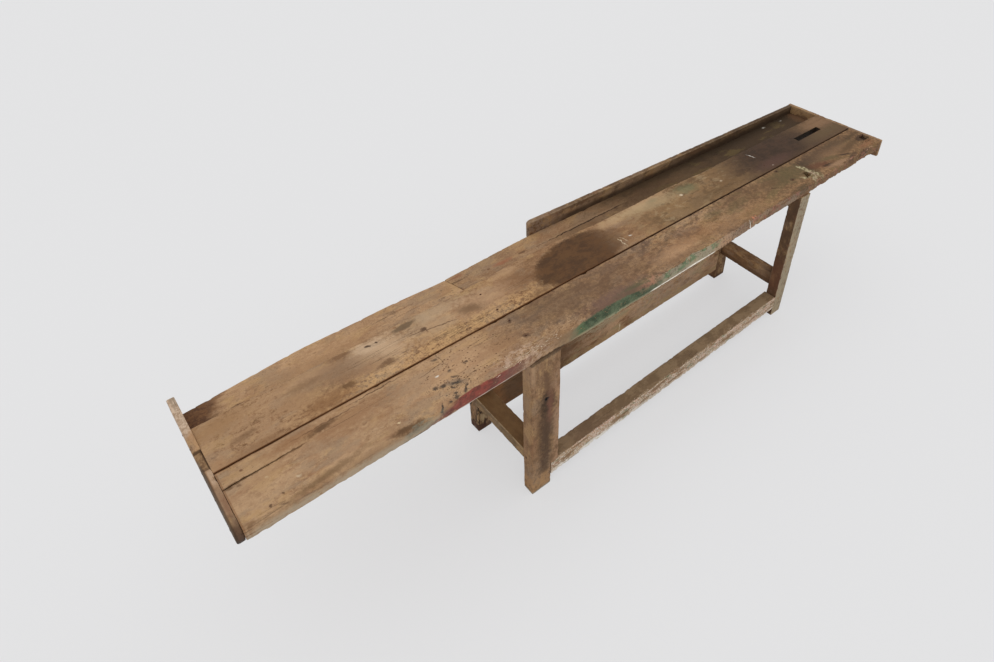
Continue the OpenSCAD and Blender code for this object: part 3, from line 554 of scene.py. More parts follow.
f.marks(plank_top, [
    # Broad soft patches, some rubbed pale, some dark with oil and hands
    (78, 60, 44, 1.12, -0.158, 0.1, 0.038, 0.85, 0.8, -0.1),
    (82, 62, 45, 1.3, -0.142, 0.22, 0.036, 0.8),
    (94, 72, 48, 0.86, -0.165, 0.12, 0.05, 0.7),
    (190, 152, 116, -0.88, -0.17, 0.17, 0.075, 0.5),
    (166, 130, 96, -1.5, -0.165, 0.05, 0.02, 0.6),
    (146, 110, 78, -0.72, -0.18, 0.06, 0.03, 0.7),
    (150, 112, 84, -0.79, -0.262, 0.05, 0.018, 0.6),
    (146, 108, 76, -1.25, -0.145, 0.14, 0.04, 0.75),
    (142, 102, 68, -1.39, -0.11, 0.09, 0.02, 0.7),
    (192, 156, 120, -1.32, -0.264, 0.06, 0.014, 0.7),
    (140, 110, 84, -1.27, -0.288, 0.07, 0.01, 0.6),
    (190, 150, 112, 0.09, -0.224, 0.11, 0.034, 0.65),
    (100, 76, 56, -0.47, -0.15, 0.19, 0.085, 0.65, 0.7, -0.05),
    (110, 82, 60, -0.19, -0.165, 0.2, 0.085, 0.55, 0.7),
    (146, 104, 66, 0.27, -0.2, 0.16, 0.05, 0.45, 0.8, -0.1),
    (116, 86, 62, 0.1, -0.26, 0.12, 0.02, 0.6),
    (120, 92, 74, -0.27, -0.25, 0.11, 0.026, 0.6, 0.7, 0.05),
    (104, 78, 54, 0.6, -0.15, 0.16, 0.045, 0.5, 0.7),
    (148, 112, 76, 0.52, -0.243, 0.2, 0.032, 0.5),
    # Olive, red-brown and black grime from the chiselled hole to the broken right end, and painted shade in
    # the broken-out hollow
    (94, 82, 52, 0.965, -0.172, 0.1, 0.048, 0.7, 0.8, -0.1),
    (76, 64, 44, 0.9, -0.278, 0.06, 0.016, 0.7, 0.6),
    (66, 50, 34, 1.07, -0.195, 0.06, 0.026, 0.7, 0.7, -1.6),
    (98, 60, 40, 1.15, -0.215, 0.08, 0.022, 0.75, 0.7, -0.3),
    (56, 40, 28, 1.18, -0.236, 0.03, 0.008, 0.8, 0.5, -0.2),
    (128, 98, 70, 1.32, -0.188, 0.13, 0.035, 0.7, 0.8, -0.1),
    (94, 82, 52, 1.24, -0.205, 0.05, 0.014, 0.6, 0.6, -0.3),
    (62, 44, 32, 1.335, -0.232, 0.034, 0.007, 0.8, 0.5, -0.5),
    (158, 124, 96, 1.25, -0.262, 0.09, 0.014, 0.7, 0.7, -0.1),
    (70, 50, 38, 1.345, -0.268, 0.05, 0.012, 0.75, 0.6, 0.2),
    (66, 50, 44, 1.445, -0.276, 0.05, 0.01, 0.75, 0.6, 0.1),
    (144, 98, 68, 1.52, -0.25, 0.06, 0.016, 0.6, 0.7),
    (88, 66, 42, 1.44, -0.2, 0.12, 0.016, 0.7, 0.7, 0.1),
    (80, 60, 38, 1.53, -0.15, 0.06, 0.012, 0.7, 0.7, 0.1),
    # Painted shade: a near-black patch over the broken-out hollow
    (60, 42, 28, 1.562, -0.196, 0.05, 0.026, 0.8, 0.3),
    # The left end: a dirty arris, knots, old nail holes and the stain along the split
    (104, 78, 50, -1.37, -0.274, 0.12, 0.011, 0.65, 0.7, 0.05),
    (88, 62, 38, -1.13, -0.283, 0.05, 0.011, 0.85, 0.6, -0.05),
    (*umber, -1.56, -0.286, 0.05, 0.005, 0.3, 0.6),
    (*umber, -1.326, -0.125, 0.02, 0.007, 0.7, 0.5, 0.07),
    (98, 70, 45, -1.59, -0.15, 0.01, 0.004, 0.65, 0.5),
    (98, 70, 45, -1.565, -0.155, 0.008, 0.004, 0.65, 0.5),
    (108, 72, 48, -1.548, -0.113, 0.006, 0.004, 0.8, 0.5),
    (*umber, -1.489, -0.254, 0.004, 0.004, 0.8, 0.4),
    (*umber, -1.528, -0.266, 0.004, 0.004, 0.8, 0.4),
    (96, 68, 42, -1.55, -0.144, 0.06, 0.0048, 0.85, 0.4, 0.02),
    (104, 74, 46, -1.43, -0.1425, 0.06, 0.0034, 0.8, 0.4),
    (104, 76, 50, -1.325, -0.1234, 0.05, 0.01, 0.75, 0.6, 0.05),
    # Fine drying checks along the grain
    (*umber, -1.14, -0.097, 0.075, 0.0022, 0.8, 0.5, -0.02),
    (*umber, 0.784, -0.192, 0.018, 0.004, 0.8, 0.4, -0.4),
    (*umber, -0.967, -0.136, 0.045, 0.0018, 0.7, 0.5, 0.07),
    (*umber, -1.3, -0.112, 0.1, 0.002, 0.6, 0.5),
    # Black blots over the left leg
    (96, 90, 82, -0.94, -0.226, 0.034, 0.011, 0.55, 0.8, -0.37),
    (*soot, -0.998, -0.206, 0.009, 0.0055, 0.85, 0.6, -0.3),
    (*soot, -0.976, -0.216, 0.008, 0.0062, 0.85, 0.6, 0.3),
    (*soot, -0.935, -0.2275, 0.015, 0.0052, 0.9, 0.6, -0.37),
    (*soot, -0.927, -0.204, 0.009, 0.004, 0.75, 0.7, -0.37),
    (*soot, -0.953, -0.238, 0.007, 0.0048, 0.85, 0.6, -0.3),
    (*soot, -0.9205, -0.1726, 0.006, 0.0048, 0.8, 0.6),
    (82, 66, 52, -0.94, -0.107, 0.008, 0.0046, 0.8, 0.5),
    (74, 58, 46, -0.866, -0.1746, 0.007, 0.0046, 0.85, 0.5),
    (*soot, -0.927, -0.266, 0.018, 0.004, 0.9, 0.6, -2.1),
    (*soot, -0.956, -0.263, 0.006, 0.005, 0.85, 0.6),
    (*soot, -0.9635, -0.2774, 0.011, 0.0055, 0.8, 0.6, 0.2),
    (*soot, -0.991, -0.281, 0.007, 0.0048, 0.9, 0.6),
    (*soot, -1.0217, -0.284, 0.014, 0.004, 0.9, 0.6, -1.86),
    # Two cuts across the grain, and pale nicks and drips
    (96, 74, 52, -0.9243, -0.094, 0.05, 0.0016, 0.6, 0.6, -1.5),
    (96, 74, 52, -0.918, -0.15, 0.04, 0.0016, 0.55, 0.6, -1.45),
    (204, 184, 154, -1.436, -0.227, 0.006, 0.0036, 0.6, 0.8, -0.7),
    (196, 172, 138, -1.504, -0.18, 0.004, 0.0024, 0.5, 0.8, -0.3),
    (*chalk, -0.966, -0.169, 0.005, 0.003, 0.9, 0.6, -0.3),
    (224, 200, 160, -1.146, -0.249, 0.004, 0.003, 0.8, 0.7),
    # Paint smeared over the arris, and two bright scratches
    (108, 82, 72, -0.29, -0.258, 0.12, 0.024, 0.65, 0.8, -0.1),
    (78, 84, 56, -0.19, -0.27, 0.08, 0.016, 0.6, 0.7),
    (208, 128, 98, 0.53, -0.28, 0.004, 0.014, 0.8, 0.5, 0.4),
    (208, 128, 98, 0.55, -0.281, 0.003, 0.012, 0.7, 0.5, 0.4)])
f.coat((72, 54, 40), f.grit.ease(0.32, 0.20) * f.mottle.ease(0.45, 0.53) * f.x.ease(-0.9, -0.55) * 0.6)
# The chiselled hole has a pale frayed rim, and its near side is bruised down to the arris
for x, y, long, wide, turn in ((1.048, -0.172, 0.030, 0.010, -1.2), (1.058, -0.236, 0.050, 0.015, -1.4),
                               (1.020, -0.264, 0.036, 0.014, -2.3), (0.985, -0.232, 0.024, 0.009, -0.6)):
    frayed = f.oval(x, y, plank_top, long, wide, turn=turn, soft=0.5)
    f.coat((120, 106, 72), frayed * 0.6)
    f.coat((186, 174, 138), frayed * f.mottle.ease(0.48, 0.56) * 0.85)
f.coat((172, 136, 90), f.oval(-1.555, -0.268, plank_top, 0.08, 0.018, soft=0.7)
       * f.mottle.ease(0.45, 0.56) * 0.45)
f.coat((108, 76, 50), f.oval(-1.586, -0.280, plank_top, 0.026, 0.010, turn=-0.4, soft=0.7) * 0.6)
f.coat((116, 74, 40), f.x.ease(-1.5985, -1.6015) * 0.5)
# Painted shade: the broken-out hollow at the right end is painted near black below the plank's top
hollow = f.z.ease(0.779, 0.776) * f.x.ease(1.535, 1.540) * f.y.band(-0.228, -0.224, -0.170, -0.166)
f.coat((50, 33, 20), hollow * 0.95)
# Bruised and pitted over the left leg, where the paint has gone and the fibres stand up white
f.coat(soot, f.oval(-0.950, -0.245, plank_top, 0.080, 0.045, turn=-0.5, soft=0.6) * f.grit.ease(0.40, 0.24)
       * f.mottle.ease(0.46, 0.52) * 0.9)
pitted = f.oval(-0.84, -0.185, plank_top, 0.20, 0.10, soft=0.6)
f.coat((96, 68, 44), f.cells.ease(0.36, 0.22) * pitted * f.cloud.ease(0.46, 0.54) * 0.85)
bruise = f.oval(-0.690, -0.276, 0.77, 0.100, 0.040, turn=-0.13, soft=0.6)
f.coat((196, 168, 146), bruise * f.mottle.ease(0.47, 0.56) * 0.7)
f.coat((150, 124, 104), bruise * f.cloud.ease(0.48, 0.40) * 0.6)
f.coat(umber, bruise * f.cells.ease(0.36, 0.22) * f.mottle.ease(0.5, 0.44) * 0.8)
# The front face: red paint, then green, then thin grey-green, each worn off the arris
front_face = (f.faces["y"] * -1).ease(0.2, 0.55)
chipped = f.mottle * 0.6 + f.streak * 0.4
below = (f.z + f.mottle * 0.05).ease(0.800, 0.775)
f.coat((173, 157, 134), front_face * below * (f.x + f.mottle * 0.1).ease(-0.86, -0.95)
       * chipped.ease(0.36, 0.50) * 0.75)
f.coat((168, 148, 120), front_face * f.x.band(-0.27, -0.18, -0.14, -0.08) * f.z.ease(0.764, 0.752) * 0.8)
f.coat((190, 148, 112), front_face * f.x.band(0.20, 0.25, 0.34, 0.42) * f.mottle.ease(0.38, 0.50) * 0.9)
f.coat((128, 128, 112), front_face * f.cloud.ease(0.52, 0.6) * f.x.band(-1.3, -1.15, -1.05, -0.95) * 0.5)
f.coat((52, 40, 32), front_face * f.z.ease(0.742, 0.738) * f.x.band(-1.2, -1.1, -1.0, -0.95) * 0.7)
red = (front_face * (f.x + f.cloud * 0.16 - f.z * 2.0).ease(-2.49, -2.42)
       * (f.x + f.mottle * 0.2).ease(-0.56, -0.70))
red_paint = f.blend(f.cloud.ease(0.42, 0.58), (138, 64, 54), (100, 50, 42))
f.coat(red_paint, red * chipped.ease(0.35, 0.45) * 0.95, 0.5)
f.coat((150, 92, 74), red * f.mottle.ease(0.55, 0.66) * 0.3)
f.coat((112, 82, 70), red * (f.x + f.cloud * 0.1).ease(-0.80, -0.70) * 0.7)
f.coat((206, 190, 174), red * f.z.ease(0.7425, 0.7385) * 0.8)
f.coat((112, 86, 72), front_face * f.z.ease(0.760, 0.770) * f.x.band(-0.46, -0.38, -0.16, -0.10) * 0.6)
green = (front_face * (f.x + f.mottle * 0.08).ease(-0.49, -0.46) * (f.x + f.cloud * 0.2).ease(0.10, -0.03)
         * (f.z + f.mottle * 0.012 + f.x * 0.02).ease(0.7715, 0.7655))
green_paint = f.blend(f.cloud.ease(0.42, 0.6), (90, 101, 76), (60, 72, 52))
f.coat(green_paint, green * chipped.ease(0.37, 0.44), 0.5)
f.coat((98, 118, 82), green * (f.x + f.mottle * 0.06).ease(-0.40, -0.43) * 0.5)
f.coat((44, 54, 36), green * f.grit.ease(0.34, 0.22) * f.mottle.ease(0.46, 0.54) * 0.85)
f.coat((150, 112, 78), green * f.cells.ease(0.22, 0.12) * f.cloud.ease(0.48, 0.56) * 0.8)
f.coat((162, 154, 124), green * f.z.ease(0.747, 0.738) * f.mottle.ease(0.38, 0.5) * 0.75)
f.coat((150, 130, 100), green * (f.x + f.mottle * 0.1).ease(-0.36, -0.42) * f.z.ease(0.746, 0.740) * 0.6)
f.coat((136, 117, 91), front_face * f.x.band(-0.60, -0.55, -0.50, -0.47) * 0.65)
f.coat((128, 96, 68), f.oval(-0.580, -0.278, plank_top, 0.080, 0.020, soft=0.8) * 0.7)
# Painted shade along the lower edge of the front face, where the plank overhangs the left leg
f.coat((52, 38, 28), front_face * (f.z + f.mottle * 0.02).ease(0.754, 0.750)
       * f.x.band(-0.70, -0.66, -0.56, -0.52) * 0.8)
thin = front_face * f.x.band(-0.10, -0.02, 0.22, 0.34)
f.coat((158, 152, 130), thin * f.mottle.ease(0.38, 0.48) * 0.8)
f.coat((96, 118, 84), thin * f.cloud.ease(0.46, 0.54) * f.z.ease(0.752, 0.762) * 0.85, 0.5)
f.coat((246, 239, 224), front_face * f.x.band(-0.13, -0.10, 0.24, 0.27) * f.z.ease(0.7460, 0.7410), 0.5)
f.coat((152, 134, 116), front_face * f.x.band(0.25, 0.32, 0.8, 1.0) * chipped.ease(0.42, 0.56) * 0.6)
f.coat((150, 100, 84), front_face * f.cloud.ease(0.52, 0.58) * f.x.ease(0.35, 0.6) * 0.6)
f.coat(umber, front_face * f.mottle.ease(0.53, 0.59) * f.x.ease(0.0, 0.5) * 0.75)
f.coat(chalk, f.oval(0.501, -0.29, 0.752, 0.0035, 0.03, deep=0.022, soft=0.4) * 0.9)
f.coat((172, 124, 100), f.oval(-0.105, -0.278, plank_top, 0.055, 0.013, turn=0.1, soft=0.7)
       * f.mottle.ease(0.42, 0.54) * 0.6)
# Dark dirt gathers in the bites of the arris, and the wood between them is rubbed pale
f.coat((180, 142, 114), f.arris.ease(0.2, 0.6) * f.mottle.ease(0.48, 0.42) * f.x.ease(0.8, 1.2)
       * f.y.ease(-0.2, -0.25) * 0.7)
f.coat(umber, f.arris.ease(0.25, 0.7) * f.mottle.ease(0.51, 0.57) * f.x.ease(-0.5, 0.4)
       * f.y.ease(-0.2, -0.25) * 0.85)
bearer_middles = (-0.6455, 0.9225)
for x in bearer_middles:
    for y in (-0.2068, -0.1144):
        f.coat((72, 50, 36), f.oval(x, y, plank_top, 0.010, 0.009, soft=0.6) * 0.7)
seam_brown = f.blend(f.x.ease(-0.9, 0.6), (98, 60, 30), (66, 42, 22))
f.coat(seam_brown, f.arris.ease(0.42, 0.80) * f.y.ease(-0.2, -0.16) * 0.9)
f.coat(seam_brown, f.faces["y"].ease(0.3, 0.75))
f.done(front_plank, "plank_wood")
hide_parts("front_slab")


# The rear plank keeps its waney edge behind, where the bark once was, over the tray. A long slot
# for saws and chisels is cut through it near the right end, and oil has soaked in near the middle.
rear_edge = [(-1.6055, 0.1125), (-1.158, 0.1125), (-0.90, 0.1130), (-0.711, 0.1156), (-0.61, 0.1190),
             (-0.520, 0.1237), (-0.42, 0.1285), (-0.328, 0.1309), (-0.24, 0.1280), (-0.168, 0.1232),
             (-0.0085, 0.1145), (0.20, 0.1140), (0.4067, 0.1157), (0.53, 0.1080), (0.6303, 0.1027),
             (1.1094, 0.1026), (1.5884, 0.0985)]
rear_plank = timber("rear_plank", "x", (-1.6055, [(-0.0965, 1.5983), (0.0985, 1.5884)]),
                    ([(-1.6055, -0.0765), (1.598, -0.0965)], rear_edge),
                    (plank_under, plank_top), worn=(0.002, 0.004, 0.005, 0.002), nicks=4,
                    uneven=0.0009, seed=5, blunt=0.0006)
slot = [(1.2605, -0.0115), (1.4725, -0.0115), (1.4725, 0.0205), (1.2605, 0.0205)]
cut(rear_plank, [(ragged(slot, 0.0005, 4), 0.70, 0.79)])
f = wood("rear_plank_wood", "x", (0.02, 0.68), (168, 131, 95), (120, 87, 58),
         shift=4.0, pits=0.5, dirt=0.45, ash=0.6, contrast=1.2)
# A rough yellow band lies along the seam on the left, and the right half is olive, then dark
yellow = ((f.y + f.cloud * 0.16).ease(0.090, 0.035) * (f.x + f.cloud * 0.2).ease(-1.36, -1.22)
          * f.x.ease(-0.42, -0.5))
f.coat((206, 164, 114), yellow * f.mottle.ease(0.40, 0.56) * 0.6)
f.coat(umber, yellow * f.speck.ease(0.54, 0.66) * 0.35)
f.coat((176, 142, 108), (f.x + f.cloud * 0.3).ease(-1.0, -1.25) * f.mottle.ease(0.36, 0.52) * 0.45)
f.coat((188, 150, 110), f.arris.ease(0.3, 0.7) * f.y.ease(0.08, 0.10) * f.x.band(-0.1, 0.1, 0.4, 0.6) * 0.6)
f.coat((128, 100, 66), (f.x + f.cloud * 0.5).ease(0.25, 0.5) * 0.65)
f.coat((96, 72, 46), (f.x + f.cloud * 0.5).ease(0.85, 1.25) * 0.82)
f.coat((84, 62, 40), f.grains(10, 19, 6.0, 0.7, 91.0).ease(0.51, 0.59) * f.x.ease(0.0, 0.3) * 0.6)
f.coat((164, 140, 106), f.grains(12, 24, 5.0, 0.7, 97.0).ease(0.55, 0.63)
       * f.x.band(0.0, 0.2, 0.7, 1.0) * 0.5)
oil = f.oval(-0.216, 0.000, plank_top, 0.228, 0.110, turn=0.1, soft=0.1, crags=0.6)
f.coat((124, 90, 62), f.oval(-0.21, 0.01, plank_top, 0.26, 0.118, soft=0.4) * 0.45)
f.coat(f.blend(f.cloud.ease(0.4, 0.6), (92, 62, 35), (71, 47, 27)),
       oil * (f.x + f.cloud * 0.25).ease(0.22, -0.02) * 0.93, 0.75)
slate = f.oval(1.07, 0.015, plank_top, 0.32, 0.14, soft=0.6, crags=0.25)
f.coat(f.blend(f.cloud.ease(0.4, 0.6), (69, 49, 36), (53, 38, 28)), slate * 0.92, 0.75)
f.coat((92, 64, 54), f.oval(0.99, -0.055, plank_top, 0.12, 0.03, soft=0.8, crags=0.3) * 0.6)
f.coat((84, 64, 48), f.x.ease(1.22, 1.32) * f.y.ease(0.04, 0.01) * 0.5)
f.coat((136, 104, 76), f.oval(1.52, 0.045, plank_top, 0.13, 0.05, soft=0.7) * 0.75)
f.coat((104, 84, 56), f.oval(1.46, -0.04, plank_top, 0.14, 0.03, soft=0.8, crags=0.4) * 0.5)
f.marks(plank_top, [
    # Broad soft patches, pale where work has rubbed and brown where dirt has stayed
    (152, 116, 80, -1.545, 0.072, 0.07, 0.035, 0.75, 0.8, 0.1),
    (214, 181, 146, -1.05, 0.04, 0.085, 0.07, 0.62, 0.8, -0.2),
    (126, 90, 60, -0.505, 0.035, 0.075, 0.045, 0.85),
    (196, 162, 126, -0.84, 0.03, 0.08, 0.045, 0.45),
    (132, 94, 60, -1.265, -0.05, 0.08, 0.034, 0.8),
    (118, 86, 56, -0.47, -0.07, 0.06, 0.014, 0.7),
    (158, 122, 88, -1.345, 0.015, 0.06, 0.03, 0.6),
    (132, 96, 64, -1.48, -0.066, 0.08, 0.014, 0.6),
    (104, 78, 50, 0.63, -0.05, 0.1, 0.04, 0.7),
    (160, 122, 88, -1.1, -0.004, 0.05, 0.022, 0.6),
    (190, 154, 118, -1.27, 0.078, 0.08, 0.024, 0.6),
    (190, 156, 118, 0.02, 0.085, 0.06, 0.024, 0.6),
    (188, 152, 116, 0.23, 0.095, 0.12, 0.022, 0.7),
    (108, 84, 56, 0.48, -0.05, 0.11, 0.03, 0.6),
    (160, 116, 78, -1.585, -0.055, 0.022, 0.02, 0.45),
    (190, 154, 118, -0.5, 0.105, 0.06, 0.02, 0.5),
    (134, 104, 78, -1.19, 0.04, 0.14, 0.05, 0.6, 0.7, -0.2),
    (196, 168, 138, -1.075, 0.079, 0.05, 0.022, 0.7, 0.6, -0.15),
    (184, 158, 128, -0.82, 0.085, 0.12, 0.026, 0.5, 0.7),
    (196, 160, 126, -0.65, 0.03, 0.11, 0.05, 0.45, 0.7),
    # Nail holes, knots and gouges in the left half
    (70, 50, 36, -1.046, 0.08, 0.005, 0.0045, 0.9, 0.4, -0.2),
    (70, 50, 36, -1.076, 0.083, 0.009, 0.004, 0.9, 0.4, -0.27),
    (104, 84, 62, -0.937, 0.089, 0.042, 0.012, 0.85, 0.3, 0.1),
    (88, 64, 46, -0.894, 0.035, 0.01, 0.0095, 0.9, 0.4),
    (88, 64, 46, -0.884, 0.022, 0.008, 0.003, 0.8, 0.4, -1.3),
    (100, 76, 54, -0.858, 0.022, 0.085, 0.0024, 0.75, 0.5, -0.25),
    (112, 84, 58, -0.714, 0.021, 0.045, 0.019, 0.75, 0.7, -0.35),
    (118, 84, 56, -1.16, 0.099, 0.036, 0.01, 0.75, 0.5, -0.12),
    (106, 76, 48, -1.19, -0.026, 0.023, 0.012, 0.85, 0.6, -0.1),
    (108, 78, 52, -1.056, -0.022, 0.032, 0.012, 0.8, 0.6, -0.08),
    (120, 90, 62, -1.3, 0.06, 0.05, 0.012, 0.5, 0.7),
    (110, 80, 54, -1.5, -0.01, 0.035, 0.012, 0.6, 0.7, 0.1),
    # Grey-green stains beyond the oil
    (176, 152, 116, 0.24, 0.07, 0.19, 0.03, 0.6, 0.7, -0.1),
    (104, 106, 76, 0.47, 0.055, 0.06, 0.03, 0.6, 0.6, -0.2),
    (110, 108, 80, 0.275, 0.085, 0.03, 0.014, 0.4, 0.7),
    # Scratches, drips and chips of white
    (212, 194, 164, -0.032, -0.045, 0.024, 0.0016, 0.9, 0.5, -1.56),
    (212, 194, 164, -0.015, -0.036, 0.018, 0.0014, 0.8, 0.5, -1.3),
    (*chalk, 0.024, -0.034, 0.007, 0.0028, 0.7, 0.7, -0.3),
    (222, 204, 176, 0.409, 0.033, 0.01, 0.0055, 0.8, 0.6, -0.4),
    (222, 204, 176, 0.647, -0.001, 0.006, 0.004, 0.6, 0.6, -0.3),
    (212, 196, 176, 0.96, -0.068, 0.006, 0.004, 0.6, 0.6, -0.2),
    (*chalk, 0.94, 0.047, 0.02, 0.0026, 0.8, 0.5, -1.43)])
seam_brown = f.blend(f.x.ease(-0.9, 0.6), (98, 60, 30), (66, 42, 22))
f.coat(seam_brown, f.arris.ease(0.42, 0.80) * f.y.ease(0.0, -0.04) * 0.9)
f.coat(seam_brown, (f.faces["y"] * -1).ease(0.3, 0.75))
# Painted shade: the walls of the slot are painted near black
slot_shade = f.x.band(1.2575, 1.2590, 1.4740, 1.4755) * f.y.band(-0.0145, -0.013, 0.022, 0.0235)
f.coat((40, 29, 18), slot_shade * f.z.ease(0.7795, 0.7775))
f.done(rear_plank, "plank_wood")
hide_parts("rear_slab")


# The left end board is nailed across the plank ends. Its front lower corner is sawn round, a dip
# is worn over the rear plank, and the tail stands up behind it.
board_front = -0.2875
corner_radius = 0.074


def round_front(y):
    """The height of the board's underside where its front corner is sawn round."""
    past = corner_radius - (y - board_front)
    return 0.761 - math.sqrt(max(0.0, corner_radius ** 2 - past ** 2))


corner_places = [board_front + k * k * 0.00074 for k in range(11)]
end_under = [(y, round_front(y)) for y in corner_places] + [(0.2555, 0.687)]
end_top = [(board_front, 0.776), (-0.282, 0.780), (-0.056, 0.780), (-0.050, 0.7755), (-0.02, 0.775),
           (0.016, 0.7755), (0.022, 0.784), (0.06, 0.7875), (0.2495, 0.791), (0.2555, 0.786)]
left_board = timber("left_board", "y", (board_front, 0.2555), (end_under, end_top), (-1.6275, -1.6055),
                    worn=(0.004, 0.004, 0.0013, 0.003), nicks=6, uneven=0.0008, seed=7, step=0.004)
f = wood("left_board_wood", "y", (0.60, -1.66), (172, 138, 106), (136, 104, 76), shift=8.0,
         contrast=1.2)
# Its tail is bleached, the dip is dirty with a dark line at each end, and the front tip is dark
tail = (f.y + f.cloud * 0.06).ease(0.095, 0.150)
f.coat(f.blend(f.mottle.ease(0.42, 0.58), (168, 142, 118), (206, 182, 158)), tail * 0.9)
f.coat((150, 132, 112), tail * f.streak.ease(0.52, 0.6) * f.y.ease(0.14, 0.24) * 0.7)
f.coat((190, 146, 104), f.oval(-1.610, 0.060, 0.785, 0.008, 0.05, soft=0.6) * 0.4)
dip = f.y.band(-0.054, -0.046, 0.016, 0.024)
f.coat(f.blend(f.mottle.ease(0.44, 0.56), (106, 78, 52), (144, 114, 82)), dip * 0.85)
f.coat((66, 46, 30), (abs(f.y + 0.053).ease(0.004, 0.001)).most(abs(f.y - 0.019).ease(0.004, 0.001)) * 0.8)
f.coat((70, 50, 32), dip * f.x.ease(-1.6105, -1.6085) * 0.8)
f.coat((186, 158, 132), f.y.band(-0.13, -0.10, -0.065, -0.055) * f.x.ease(-1.620, -1.617)
       * f.mottle.ease(0.36, 0.50) * 0.7)
f.coat((140, 112, 88), f.y.band(-0.25, -0.20, -0.14, -0.10) * f.cloud.ease(0.3, 0.5) * 0.6)
f.coat((120, 78, 54), f.oval(-1.612, -0.19, 0.78, 0.01, 0.030, soft=0.6) * 0.45)
f.coat((78, 54, 38), (f.y + f.cloud * 0.06).ease(-0.19, -0.245) * 0.85)
f.coat((64, 48, 34), f.x.ease(-1.6190, -1.6225) * (f.y + f.mottle * 0.05).ease(0.02, -0.03) * 0.7)
outer_side = (f.faces["x"] * -1).ease(0.2, 0.6)
f.coat((96, 84, 72), outer_side * (f.y + f.cloud * 0.05).ease(0.03, 0.0) * 0.8)
# Painted shade on the underside of the sawn round at the front corner, where it faces forward and down
f.coat((56, 52, 50), f.faces["y"].ease(-0.2, -0.7) * f.z.ease(0.76, 0.73) * 0.6)
f.done(left_board, "board_wood")
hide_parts("left_end_board")

# The right end board closes the skewed right ends of the planks and the tray.
right_board = timber("right_board", "y", (-0.2785, 0.2690), (0.687, 0.780),
                     ([(-0.2785, 1.6075), (0.2690, 1.5798)], [(-0.2785, 1.6270), (0.2690, 1.5996)]),
                     worn=0.003, nicks=5, uneven=0.0006, seed=9, step=0.004)
f = wood("right_board_wood", "y", (0.60, 1.66), (140, 108, 80), (108, 80, 56), shift=12.0)
f.coat((170, 146, 118), f.arris.ease(0.5, 0.9) * f.mottle.ease(0.44, 0.52) * 0.5)
f.done(right_board, "board_wood")
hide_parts("right_end_board")


# The tray floor: two boards of 20 mm nailed up under the rear plank, which butt over the rear left
# leg with a slanting saw cut between them.
tray_under = 0.715
tray_left = timber("tray_left", "x", (-1.6055, [(0.0835, -0.6316), (0.2495, -0.6780)]),
                   (0.0835, [(-1.6055, 0.2265), (-1.2249, 0.2565), (-0.8419, 0.2575), (-0.678, 0.2495)]),
                   (tray_under, plank_under), worn=0.0025, nicks=4, uneven=0.0006, seed=11)
f = wood("tray_left_wood", "x", (0.16, 0.66), (192, 155, 118), (160, 125, 92), shift=16.0)
# Painted shade and dark dirt in the far left corner of the tray, by the end board
f.coat(f.blend(f.mottle.ease(0.4, 0.6), (76, 46, 27), (106, 71, 43)),
       (f.x + f.cloud * 0.12 - f.y * 0.35).ease(-1.49, -1.56) * 0.92)
f.coat((92, 66, 46), f.oval(-1.464, 0.154, plank_under, 0.018, 0.004, soft=0.5) * 0.8)
f.coat((84, 60, 42), f.oval(-1.345, 0.151, plank_under, 0.022, 0.003, turn=0.1, soft=0.5) * 0.8)
f.coat((160, 122, 86), f.oval(-1.20, 0.165, plank_under, 0.16, 0.05, soft=0.8) * 0.6)
floor_nail_places = ((-0.6615, 0.1265), (-0.6235, 0.1265))
for x, y in floor_nail_places:
    f.coat((72, 50, 36), f.oval(x, y, plank_under, 0.010, 0.009, soft=0.6) * 0.7)
f.done(tray_left, "board_wood")
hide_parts("tray_floor_left")

tray_right = timber("tray_right", "x",
                    ([(0.0835, -0.6301), (0.2495, -0.6765)], [(0.0835, 1.5891), (0.2477, 1.5808)]),
                    (0.0835, [(-0.6765, 0.2495), (-0.2575, 0.2705), (1.5808, 0.2477)]),
                    (tray_under, plank_under), worn=0.0025, nicks=3, uneven=0.0006, seed=13)
f = wood("tray_right_wood", "x", (0.10, 0.66), (172, 138, 104), (138, 105, 76), shift=20.0)
# It darkens to the right, under the rail, and has painted shade along the foot of the rail and, with dirt, in
# the corner at the right end. A long split runs down its middle, with bruised edges
f.coat((84, 62, 38), (f.x + f.cloud * 0.5).ease(-0.05, 0.75) * 0.85)
f.coat((60, 44, 28), (f.x + f.cloud * 0.6).ease(0.7, 1.3) * 0.85)
f.coat((106, 88, 50), f.grains(6, 16, 4.0, 0.6, 93.0).ease(0.54, 0.62) * f.x.ease(0.1, 0.4) * 0.45)
# Painted shade along the foot of the rail
f.coat((50, 37, 22), (f.y + f.cloud * 0.04).ease(0.200, 0.262)
       * (f.x + f.cloud * 0.3).ease(0.15, 0.5) * 0.75)
f.coat((158, 122, 90), f.y.ease(0.150, 0.125) * f.x.band(0.0, 0.2, 0.35, 0.6) * 0.7)
